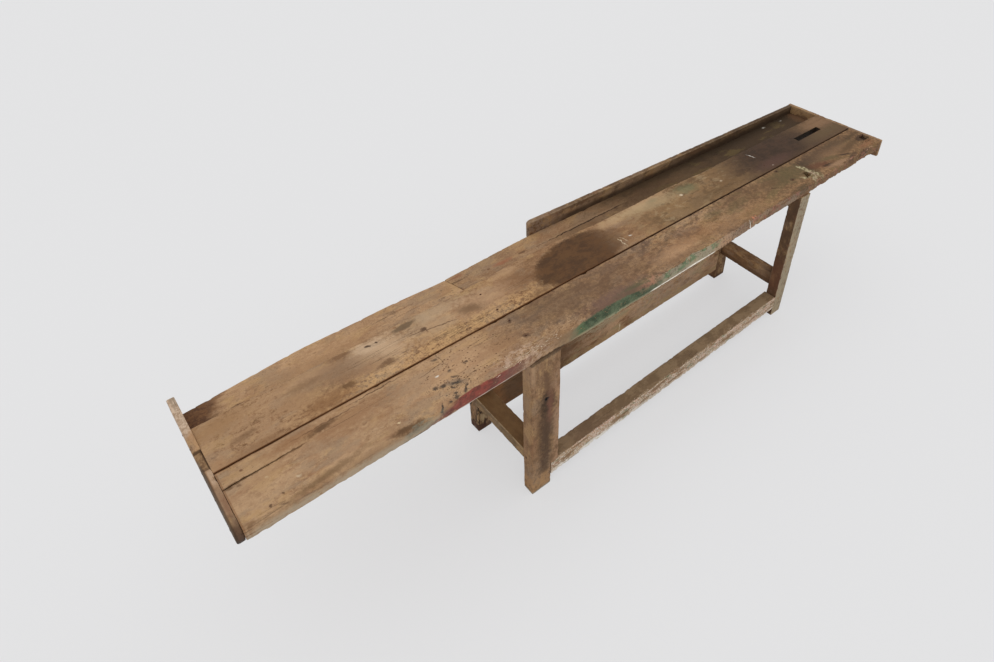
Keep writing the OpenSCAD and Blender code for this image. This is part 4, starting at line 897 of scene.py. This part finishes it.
# Dirt and painted shade in the corner by the right end board
f.coat((98, 70, 48), f.oval(1.577, 0.176, plank_under, 0.05, 0.09, soft=0.5) * 0.8)
f.marks(plank_under, [
    # Bruises, dark soft patches, the split and two drips
    (150, 96, 68, -0.44, 0.199, 0.04, 0.01, 0.7, 0.6),
    (140, 92, 64, -0.632, 0.24, 0.022, 0.009, 0.7, 0.6),
    (110, 74, 50, -0.515, 0.199, 0.01, 0.005, 0.8, 0.5),
    (104, 76, 50, -0.06, 0.18, 0.13, 0.03, 0.6),
    (70, 48, 30, 0.34, 0.185, 0.18, 0.04, 0.6),
    (96, 66, 46, -0.348, 0.2, 0.018, 0.006, 0.8, 0.5, 0.1),
    (190, 158, 122, 0.006, 0.2, 0.175, 0.006, 0.15, 0.6),
    (58, 39, 25, -0.01, 0.193, 0.23, 0.0036, 0.95, 0.3),
    (*chalk, 1.31, 0.232, 0.01, 0.005, 0.5, 0.6),
    (*chalk, 1.449, 0.225, 0.008, 0.004, 0.4, 0.6)])
f.done(tray_right, "board_wood")
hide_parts("tray_floor_right")


# The rail stands on edge behind the tray's right part, nailed into the edge of the tray floor.
tray_rail = timber("rail", "x", (-0.2575, [(0.2477, 1.5808), (0.2697, 1.5797)]),
                   ([(-0.2575, 0.2705), (1.5808, 0.2477)], [(-0.2575, 0.2925), (1.5808, 0.2697)]),
                   (tray_under, [(-0.2575, 0.785), (-0.252, 0.791), (-0.243, 0.795), (1.58, 0.776)]),
                   worn=0.003, nicks=4, uneven=0.0006, seed=15)
f = wood("rail_wood", "x", (0.30, 0.60), (116, 88, 62), (84, 61, 42), shift=24.0)
f.coat((66, 50, 34), (f.x + f.cloud * 0.6).ease(0.5, 1.5) * 0.7)
f.coat((138, 116, 98), (f.x + f.cloud * 0.5).ease(0.35, -0.05) * f.mottle.ease(0.40, 0.54) * 0.7)
# Painted shade along the rail's lower part, next to the tray floor
f.coat((58, 42, 28), f.z.ease(0.768, 0.745) * f.x.ease(-0.2, 0.0) * 0.8)
f.coat((150, 128, 100), f.arris.ease(0.4, 0.8) * f.z.ease(0.77, 0.785) * f.mottle.ease(0.42, 0.54) * 0.6)
f.done(tray_rail, "board_wood")
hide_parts("tray_rail")


# The front left leg is the widest. Its foot is cut back to seat the front stretcher, and an old
# bolt hole of 9 mm goes through it, ringed and streaked by rust.
left_leg_depth, right_leg_depth = (-0.2925, -0.2395), (-0.2925, -0.2355)
front_left_leg = timber("front_left_post", "z", (0.0, plank_under),
                        (-0.6875, [(0, -0.5965), (0.1228, -0.5965), (0.1232, -0.5595), (0.735, -0.5595)]),
                        left_leg_depth, worn=0.003, nicks=2, uneven=0.0009, seed=17)
bolt_radius = 0.0045
drill = [(-0.6235 + bolt_radius * math.cos(k * math.pi / 8), 0.517 + bolt_radius * math.sin(k * math.pi / 8))
         for k in range(16)]
cut(front_left_leg, [(drill, -0.30, -0.23)], "y")
f = wood("front_left_post_wood", "z", (-0.58, -0.35), (156, 122, 89), (112, 83, 58), shift=28.0,
         pits=0.4, dirt=0.5, contrast=1.2)
f.coat((168, 132, 104), f.x.ease(-0.598, -0.575) * f.z.ease(0.72, 0.5) * f.cloud.ease(0.42, 0.56) * 0.6)
f.coat((178, 146, 114), f.x.ease(-0.665, -0.68) * f.z.ease(0.58, 0.66) * f.mottle.ease(0.36, 0.5) * 0.6)
# Rust has run down from the hole. Each stain: tint, x, z, half width, half height, softness, strength
for *tint, x, z, wide, high, soft, share in [(112, 84, 58, -0.655, 0.34, 0.014, 0.16, 0.7, 0.4),
                                             (90, 66, 46, -0.624, 0.34, 0.033, 0.21, 0.75, 0.85),
                                             (72, 53, 39, -0.625, 0.31, 0.018, 0.15, 0.9, 0.65),
                                             (80, 60, 44, -0.632, 0.15, 0.022, 0.07, 0.7, 0.65),
                                             (104, 76, 54, -0.622, 0.60, 0.017, 0.055, 0.6, 0.8),
                                             (54, 39, 25, -0.616, 0.492, 0.032, 0.056, 0.6, 0.75)]:
    f.coat(tint, f.oval(x, -0.29, z, wide, 0.06, deep=high, soft=soft) * share)
# A near-black disc over the bolt hole: painted shade inside the hole, and a dark rust ring round it
f.coat((22, 17, 13), f.oval(-0.6235, -0.29, 0.517, 0.0110, 0.06, deep=0.0105, soft=0.25, crags=0.05))
f.coat((132, 88, 70), f.oval(-0.604, -0.29, 0.47, 0.012, 0.06, deep=0.08, soft=0.8) * 0.55)
f.coat((170, 132, 92), f.z.ease(0.11, 0.08) * f.mottle.ease(0.38, 0.52) * 0.7)
f.coat((150, 142, 126), (f.z + f.mottle * 0.01).ease(0.018, 0.010) * 0.85)
# Painted shade: a dark line down the corner of the foot's rebate, and a dark band along the top of the leg
# under the plank's edge
f.coat((58, 42, 30), f.oval(-0.5955, -0.29, 0.085, 0.003, 0.06, deep=0.045, soft=0.4) * 0.85)
f.coat((58, 42, 30), (f.z + f.mottle * 0.02).ease(0.728, 0.738) * 0.7)
f.done(front_left_leg, "frame_wood")
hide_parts("front_left_leg")

# The rear left leg, with wild grain round a knot low down and a damp-stained foot.
rear_leg_depth = (0.0832, 0.1402)
rear_left_leg = timber("rear_left_post", "z", (0.0, tray_under), (-0.679, -0.612), rear_leg_depth,
                       worn=0.003, nicks=3, uneven=0.0009, seed=18)
f = wood("rear_left_post_wood", "z", (-0.63, 0.02), (132, 104, 76), (104, 78, 54), shift=32.0)
swirl = abs(f.grains(9, 26, 3.0, 0.55, 61.0) - 0.5).ease(0.045, 0.015) * f.z.ease(0.42, 0.25)
f.coat((186, 162, 124), f.grains(9, 26, 3.0, 0.55, 61.0).ease(0.47, 0.40) * f.z.ease(0.42, 0.25) * 0.7)
f.coat((50, 36, 26), swirl * 0.9)
f.coat((176, 150, 116), f.arris.ease(0.5, 0.9) * f.mottle.ease(0.42, 0.52) * 0.5)
f.coat((78, 50, 40), (f.z + f.mottle * 0.05).ease(0.075, 0.05) * 0.85)
f.done(rear_left_leg, "frame_wood")
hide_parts("rear_left_leg")

# The front right leg: its outer front is bleached grey-green, its inner side is dark.
front_right_leg = timber("front_right_post", "z", (0.0, plank_under), (0.886, 0.959), right_leg_depth,
                         worn=0.003, nicks=3, uneven=0.0009, seed=19)
f = wood("front_right_post_wood", "z", (0.92, -0.36), (132, 104, 76), (96, 70, 50), shift=36.0)
inner_side = (f.faces["x"] * -1).ease(0.3, 0.7)
f.coat((78, 56, 40), inner_side * f.cloud.ease(0.32, 0.56) * 0.8)
f.coat((104, 62, 44), inner_side * f.z.band(0.10, 0.2, 0.30, 0.42) * 0.5)
outer_front = (f.faces["y"] * -1).ease(0.3, 0.7)
f.coat((164, 152, 128), outer_front * f.mottle.ease(0.34, 0.52) * 0.75)
f.coat((186, 168, 140), f.arris.ease(0.5, 0.9) * (outer_front + inner_side)
       * f.mottle.ease(0.40, 0.5) * 0.5)
f.done(front_right_leg, "frame_wood")
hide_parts("front_right_leg")

# The rear right leg, which shows its knotty foot below the rear stretcher.
rear_right_leg = timber("rear_right_post", "z", (0.0, tray_under), (0.8825, 0.9625), rear_leg_depth,
                        worn=0.003, nicks=3, uneven=0.0009, seed=20)
f = wood("rear_right_post_wood", "z", (0.92, 0.02), (146, 112, 78), (108, 80, 54), shift=40.0)
swirl = abs(f.grains(12, 30, 3.0, 0.55, 61.0) - 0.5).ease(0.035, 0.01) * f.z.ease(0.35, 0.2)
f.coat((84, 52, 32), swirl * 0.7)
f.coat((84, 56, 40), (f.z + f.mottle * 0.04).ease(0.05, 0.03) * 0.8)
f.done(rear_right_leg, "frame_wood")
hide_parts("rear_right_leg")


# The bearers lie under the planks, hidden from above, tenoned into the tops of the legs.
left_run, right_run = (left_leg_depth[1], rear_leg_depth[0]), (right_leg_depth[1], rear_leg_depth[0])
bearers = [("left", left_run, (-0.6755, -0.6155)), ("right", right_run, (0.8925, 0.9525))]
for number, (side, run, width) in enumerate(bearers):
    bearer = timber(side + "_bearer_rail", "y", run, (0.655, plank_under), width, worn=0.003, nicks=5,
                    uneven=0.0008, seed=31 + number)
    f = wood(side + "_bearer_wood", "y", (0.60, width[0] - 0.06), (138, 108, 80), (108, 82, 58),
             shift=48.0 + 4 * number)
    f.done(bearer, "frame_wood")
    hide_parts(side + "_bearer")

# The left end stretcher, browner on top, with painted shade at its front end by the leg, and rubbed pale
# along its outer arris.
left_stretcher = timber("left_stretcher", "y", left_run, (0.172, 0.224), (-0.683, -0.608),
                        worn=0.003, nicks=5, uneven=0.0008, seed=33)
f = wood("left_stretcher_wood", "y", (0.12, -0.74), (140, 116, 84), (108, 86, 60), shift=56.0)
f.coat(f.blend(f.cloud.ease(0.4, 0.6), (122, 92, 60), (134, 103, 68)), f.faces["z"].ease(0.4, 0.8) * 0.9)
f.coat((190, 168, 134), f.arris.ease(0.45, 0.85) * (f.faces["x"] * -1).ease(0.1, 0.5) * f.z.ease(0.2, 0.215)
       * f.mottle.ease(0.36, 0.46) * 0.75)
# Painted shade at the front end, where the stretcher meets the front leg
f.coat((62, 45, 30), f.y.ease(-0.225, -0.24) * 0.5)
f.done(left_stretcher, "frame_wood")
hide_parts("left_end_stretcher")

# The right end stretcher, redder, darker towards its lower edge, and with painted shade towards the front
# leg.
right_stretcher = timber("right_stretcher", "y", right_run, (0.170, 0.242), (0.8955, 0.9495),
                         worn=0.003, nicks=5, uneven=0.0008, seed=34)
f = wood("right_stretcher_wood", "y", (0.12, 0.83), (150, 112, 78), (112, 82, 54), shift=60.0)
f.coat((92, 66, 45), (f.z + f.mottle * 0.02).ease(0.212, 0.200) * 0.7)
# Painted shade towards the front end, where the stretcher meets the front leg
f.coat((74, 48, 34), f.y.ease(-0.17, -0.235) * 0.5)
f.done(right_stretcher, "frame_wood")
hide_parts("right_end_stretcher")

# The front stretcher. Boots have scraped its top olive brown and its front face to pale splinters,
# with a little of the plank's paint on them.
rail_front, rail_under = left_leg_depth[0], 0.048


def wear_rail(points):
    """Breaks bites out of the lower front arris, where boots have rested on the rail."""
    low = np.clip(1 - (points[:, 2] - rail_under) / 0.022, 0, 1)
    low *= np.clip(1 - (points[:, 1] - rail_front) / 0.02, 0, 1)
    bite = np.clip(ripple(points, 0.045, 0.5, 31) + 0.7 * ripple(points, 0.014, 0.5, 32) - 0.05, 0, None)
    bite *= 0.010 * low * line([(-0.6, 1.2), (0.0, 1.0), (0.9, 0.6)], points[:, 0])
    points[:, 1] += 0.5 * bite
    points[:, 2] += bite
    return points


front_stretcher = timber("front_stretcher_rail", "x", (-0.5940, 0.886), (rail_front, -0.2265),
                         (rail_under, 0.1225), worn=(0.003, 0.003, 0.003, 0.005), nicks=9,
                         uneven=0.0012, seed=35, shape=wear_rail)
f = wood("front_stretcher_wood", "x", (-0.34, -0.01), (136, 112, 84), (106, 84, 60), shift=64.0)
f.coat(f.blend(f.cloud.ease(0.42, 0.58), (149, 125, 96), (124, 101, 76)),
       f.faces["z"].ease(0.4, 0.8) * 0.85)
f.coat((112, 88, 72), f.faces["z"].ease(0.4, 0.8) * f.oval(-0.38, -0.26, 0.12, 0.1, 0.05, soft=0.7) * 0.4)
scraped = (f.faces["y"] * -1).ease(0.2, 0.6)
f.coat((186, 156, 128), scraped * f.mottle.ease(0.40, 0.5) * 0.75)
f.coat((196, 158, 138), scraped * f.cloud.ease(0.50, 0.56) * 0.6)
f.coat((228, 220, 204), scraped * f.speck.ease(0.5, 0.58) * 0.65)
f.coat((96, 116, 88), scraped * f.grains(14, 60, 4.0, 0.6, 71.0).ease(0.58, 0.62) * 0.8)
f.coat(umber, scraped * f.cells.ease(0.34, 0.2) * f.mottle.ease(0.46, 0.54) * 0.8)
f.coat((128, 98, 66), scraped * f.grains(8, 40, 4.0, 0.6, 73.0).ease(0.53, 0.58) * 0.8)
f.coat((216, 206, 190), scraped * f.z.ease(0.075, 0.052) * 0.6)
f.coat((234, 230, 220), scraped * (f.z + f.mottle * 0.03).ease(0.094, 0.082) * f.x.ease(0.1, -0.3)
       * f.cloud.ease(0.46, 0.54) * 0.85)
f.done(front_stretcher, "frame_wood")
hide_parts("front_stretcher")

# The rear stretcher: a deep board on edge, paler, with painted shade over its left part, in the corner behind
# the left leg.
rear_stretcher = timber("rear_stretcher_rail", "x", (-0.612, 0.8825), (0.0832, 0.1232), (0.064, 0.194),
                        worn=0.003, nicks=5, uneven=0.0008, seed=36)
f = wood("rear_stretcher_wood", "x", (0.02, -0.03), (208, 171, 136), (166, 130, 98), shift=68.0)
# Painted shade over the left part, behind the front left leg
f.coat((84, 58, 35), (f.x + f.cloud * 0.3).ease(0.24, -0.15) * 0.85)
f.coat((146, 104, 66), (f.x + f.cloud * 0.15).ease(-0.44, -0.50) * 0.8)
f.coat((116, 80, 50), f.grains(8, 20, 5.0, 0.66, 99.0).ease(0.52, 0.62) * 0.7)
f.coat((152, 144, 108), f.grains(8, 20, 4.0, 0.66, 89.0).ease(0.54, 0.62) * f.x.ease(-0.3, -0.1) * 0.5)
f.coat((172, 156, 128), f.oval(0.035, 0.083, 0.190, 0.130, 0.03, deep=0.030, soft=0.6)
       * f.mottle.ease(0.36, 0.5) * 0.75)
f.coat((172, 150, 128), f.x.band(0.18, 0.32, 0.62, 0.80) * f.mottle.ease(0.40, 0.54) * 0.55)
# Painted highlight: a bright narrow streak down the front face
f.coat((238, 226, 196), f.oval(0.1447, 0.0832, 0.086, 0.0028, 0.02, deep=0.034, soft=0.3) * 0.95)
f.coat((160, 136, 92), f.z.ease(0.11, 0.09) * f.x.ease(-0.35, -0.2) * f.cloud.ease(0.42, 0.54) * 0.5)
f.done(rear_stretcher, "frame_wood")
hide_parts("rear_stretcher")


# Forged nails hold the planks to the bearers. Each has a flat faceted head, which stands just
# clear of the wood, and a shank down into it. One tree of nodes sets them all.
class Grower(Net):
    """Geometry Nodes that set a small shape at each point, along the point's own `aim`. The
    sizes are named inputs, and the result is a plain mesh."""

    def __init__(self, name, sizes):
        super().__init__(bpy.data.node_groups.new(name, "GeometryNodeTree"))
        sockets = self.tree.interface
        sockets.new_socket("Spots", in_out="INPUT", socket_type="NodeSocketGeometry")
        sockets.new_socket("Finish", in_out="INPUT", socket_type="NodeSocketMaterial")
        for key, value in sizes.items():
            kind = "NodeSocketInt" if isinstance(value, int) else "NodeSocketFloat"
            sockets.new_socket(key, in_out="INPUT", socket_type=kind)
        sockets.new_socket("Shapes", in_out="OUTPUT", socket_type="NodeSocketGeometry")
        start = self.tree.nodes.new("NodeGroupInput")
        self.sizes = sizes
        self.given = {s.name: Tone(self, s) for s in start.outputs if s.name}

    def measures(self):
        """The named sizes as the tree's own inputs, in their order."""
        return [self.given[name] for name in self.sizes]

    def chance(self, low, high, salt):
        seed = self.given["Seed"] + salt
        return self.add("FunctionNodeRandomValue", None, {2: low, 3: high, "Seed": seed}, 1)

    def shape(self, *parts):
        """Joins the parts, and keeps each vertex's own place in the shape for the finish."""
        joined = self.tree.nodes.new("GeometryNodeJoinGeometry")
        for part in parts:
            self.tree.links.new(part.socket, joined.inputs[0])
        where = self.add("GeometryNodeInputPosition")
        return self.add("GeometryNodeStoreNamedAttribute", {"data_type": "FLOAT_VECTOR", "domain": "POINT"},
                        {"Geometry": Tone(self, joined.outputs[0]), "Name": "local", "Value": where})

    def stub(self, sides, top, bottom, depth, lift):
        """A tapered stub with so many flat sides. Its foot is lifted along the aim."""
        cone = self.add("GeometryNodeMeshCone", None, {"Vertices": sides, "Radius Top": top,
                                                       "Radius Bottom": bottom, "Depth": depth})
        place = self.add("ShaderNodeCombineXYZ", None, {2: lift})
        return self.add("GeometryNodeTransform", None, {"Geometry": cone, "Translation": place})

    def grow(self, name, spots, aims, shape, scale, finish):
        aim = self.add("GeometryNodeInputNamedAttribute", {"data_type": "FLOAT_VECTOR"}, {"Name": "aim"})
        turn = self.add("FunctionNodeAlignRotationToVector", {"axis": "Z"}, {"Vector": aim})
        spin = self.add("ShaderNodeCombineXYZ", None, {2: self.chance(0.0, 6.28, 9)})
        spin = self.add("FunctionNodeEulerToRotation", None, {0: spin})
        turn = self.add("FunctionNodeRotateRotation", {"rotation_space": "LOCAL"}, {0: turn, 1: spin})
        grown = self.add("GeometryNodeInstanceOnPoints", None,
                         {"Points": self.given["Spots"], "Instance": shape, "Rotation": turn, "Scale": scale})
        grown = self.add("GeometryNodeRealizeInstances", None, {"Geometry": grown})
        grown = self.add("GeometryNodeSetMaterial", None,
                         {"Geometry": grown, "Material": self.given["Finish"]})
        self.add("NodeGroupOutput", None, {0: grown})
        mesh = bpy.data.meshes.new(name)
        mesh.from_pydata([tuple(map(float, spot)) for spot in spots], [], [])
        mesh.attributes.new("aim", "FLOAT_VECTOR", "POINT").data.foreach_set("vector", np.ravel(aims))
        piece = bpy.data.objects.new(name, mesh)
        bpy.context.scene.collection.objects.link(piece)
        modifier = piece.modifiers.new("grow", "NODES")
        modifier.node_group = self.tree
        values = {**self.sizes, "Finish": finish}
        for socket in self.tree.interface.items_tree:
            if socket.in_out == "INPUT" and socket.name in values:
                modifier[socket.identifier] = values[socket.name]
        bpy.context.view_layer.update()
        result = bpy.data.meshes.new_from_object(piece.evaluated_get(bpy.context.evaluated_depsgraph_get()))
        piece.modifiers.clear()
        piece.data = result
        return piece


def drive_nails(name, spots, aims, reach, seed):
    """Nails with their heads at the spots, which face along the aims."""
    g = Grower(name + "_tree", {"Head Width": 0.0088, "Head Height": 0.0016, "Proud": 0.0012,
                                "Shank Width": 0.0034, "Shank Length": reach, "Seed": seed})
    wide, high, proud, shank_wide, long = g.measures()[:5]
    head = g.stub(8, wide * 0.34, wide * 0.5, high, proud - high)
    shank = g.stub(6, shank_wide * 0.5, shank_wide * 0.12, long, long * -1)
    size = g.chance(0.88, 1.08, 3)
    scale = g.add("ShaderNodeCombineXYZ", None, {0: size, 1: size, 2: 1.0})
    f = Finish(name + "_iron", "x")
    f.height = f.grains(300, 300, 3.0, 0.6)
    f.colour = f.blend(f.height.ease(0.38, 0.62), (58, 46, 40), (104, 66, 44))
    f.rough = 0.62 + f.height * 0.3
    nails = g.grow(name, spots, aims, g.shape(head, shank), scale, f.material)
    f.done(nails, "nail_iron", drop=0.0003, Metallic=0.35)
    return nails


plank_nails = drive_nails("plank_nails", [(x, y, plank_top) for x in bearer_middles for y in
                                          (-0.2068, -0.1144, -0.0443, 0.0577)], [(0, 0, 1)] * 8, 0.072, 1)
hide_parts("slab_nails")

# The end boards' nails go into the plank ends, two to a plank, and one into the tray floor.
end_spots = [(-1.6275, y, 0.7575) for y in (-0.2503, -0.1406, -0.0387, 0.0596)] + [(-1.6275, 0.155, 0.725)]
end_spots += [(1.6254, -0.2465, 0.7575), (1.6207, -0.1525, 0.7575), (1.6160, -0.0579, 0.7575),
              (1.6109, 0.0435, 0.7575), (1.6048, 0.1649, 0.725)]
board_nails = drive_nails("board_nails", end_spots, [(-1, 0, 0)] * 5 + [(0.99875, 0.05, 0)] * 5, 0.046, 2)
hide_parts("end_board_nails")

# The tray's nails: through the rail, up through the floor's lap, and down into the rear legs.
rail_spots = [(x, 0.2893 - 0.0124 * x, 0.725) for x in (-0.2207, 0.1105, 0.4785, 0.8466, 1.2146, 1.5274)]
lap_places = (-1.4647, -1.1067, -0.7812, -0.4883, -0.0651, 0.3255, 0.7161, 1.302)
lap_spots = [(x, 0.091, tray_under) for x in lap_places]
leg_spots = [(x, y, plank_under) for x, y in (*floor_nail_places, (0.9225, 0.1265))]
floor_nails = drive_nails("floor_nails", rail_spots + lap_spots + leg_spots,
                          [(0, 1, 0)] * 6 + [(0, 0, -1)] * 8 + [(0, 0, 1)] * 3, 0.042, 3)
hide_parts("tray_nails")


# Split-oak pegs, roughly eight-sided, drawn through the mortise-and-tenon joints. Their ends
# stand a little proud of the legs and show end grain.
peg_spots = [(-0.6118, -0.2395, 0.0855), (0.9013, -0.2355, 0.0855), (-0.6273, 0.1402, 0.129),
             (0.8978, 0.1402, 0.129)]
peg_aims = [(0, 1, 0)] * 4
for side, aim, faces_x in (("left", -1, (-0.6875, -0.679)), ("right", 1, (0.959, 0.9625))):
    for x, y in zip(faces_x, (-0.2548 if side == "left" else -0.2508, 0.0985)):
        peg_spots += [(x, y, 0.695), (x, y, 0.198 if side == "left" else 0.206)]
        peg_aims += [(aim, 0, 0)] * 2
g = Grower("peg_tree", {"Peg Width": 0.0104, "Peg Length": 0.046, "Proud": 0.0018, "Seed": 4})
wide, long, proud = g.measures()[:3]
peg = g.stub(8, wide * 0.46, wide * 0.5, long, proud - long)
peg_scale = g.add("ShaderNodeCombineXYZ", None,
                  {0: g.chance(0.9, 1.05, 3), 1: g.chance(0.88, 1.05, 4), 2: 1.0})
f = Finish("peg_end_grain", "x")
local = f.add("ShaderNodeAttribute", {"attribute_name": "local"}, None, "Vector")
from_middle = f.vector("LENGTH", f.vector("MULTIPLY", local, (1, 1, 0)), (0, 0, 0), "Value")
f.height = (from_middle * 900 + f.grains(120, 120, 2.0) * 1.5).fraction()
f.colour = f.blend(f.height.ease(0.2, 0.9), (124, 96, 68), (84, 62, 44))
f.coat(umber, from_middle.ease(0.0040, 0.0050) * 0.6)
f.rough = 0.7 + f.height * 0.15
pegs = g.grow("peg_ends", peg_spots, peg_aims, g.shape(peg), peg_scale, f.material)
f.done(pegs, "peg_wood", drop=0.0003)
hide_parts("draw_pegs")


# Raised splinters, thin wedges torn up along the grain: pale ones over the left leg, round the
# chiselled hole and along the front stretcher, and red-brown ones by the broken right end.
def tear_splinters(name, clusters, length, fresh, dull, seed):
    """Each cluster is a piece, a middle, a reach each way, a count, a turn and a lift."""
    chance = np.random.default_rng(seed)
    spots, aims = [], []
    bpy.context.view_layer.update()
    for piece, x, y, reach_x, reach_y, count, turn, lift in clusters:
        for _ in range(count):
            spot = (x + chance.normal(0, 0.5) * reach_x, y + chance.normal(0, 0.5) * reach_y, 1.0)
            hit, place, normal, _ = piece.ray_cast(spot, (0, 0, -1))
            if hit and place.z > 0.10:
                bearing = turn + chance.normal(0, 0.28) + (math.pi if chance.random() < 0.5 else 0)
                rise = abs(chance.normal(0, lift))
                spots.append(tuple(place))
                level = math.cos(rise)
                aims.append((math.cos(bearing) * level, math.sin(bearing) * level, math.sin(rise)))
    g = Grower(name + "_tree", {"Width": 0.0016, "Length": length, "Sunk": 0.0006, "Seed": seed})
    wide, long, sunk = g.measures()[:3]
    wedge = g.stub(4, wide * 0.08, wide * 0.5, long, sunk * -1)
    width = g.chance(0.5, 1.5, 3)
    scale = g.add("ShaderNodeCombineXYZ", None, {0: width, 1: width, 2: g.chance(0.35, 1.2, 4)})
    f = Finish(name + "_wood", "x")
    f.height = f.grains(90, 200, 3.0, 0.6)
    f.colour = f.blend(f.height.ease(0.4, 0.6), dull, fresh)
    f.rough = 0.75 + f.height * 0.1
    torn = g.grow(name, spots, aims, g.shape(wedge), scale, f.material)
    f.done(torn, "plank_wood", drop=0.0002)
    return torn


tear_splinters("pale_splinters", [(front_plank, -0.665, -0.276, 0.13, 0.016, 90, 0.05, 0.12),
                                  (front_plank, 1.046, -0.236, 0.016, 0.030, 46, -1.6, 0.2),
                                  (front_plank, 1.010, -0.268, 0.030, 0.010, 20, -2.2, 0.2),
                                  (front_stretcher, 0.10, -0.288, 1.0, 0.004, 170, 0.0, 0.10)],
               0.016, (220, 202, 178), (172, 144, 116), 6)
tear_splinters("red_splinters", [(front_plank, 1.560, -0.228, 0.045, 0.010, 34, -0.1, 0.2),
                                 (front_plank, 1.40, -0.272, 0.16, 0.008, 60, 0.0, 0.12),
                                 (front_plank, 0.80, -0.280, 0.30, 0.006, 60, 0.0, 0.10)],
               0.018, (166, 122, 90), (120, 82, 58), 7)
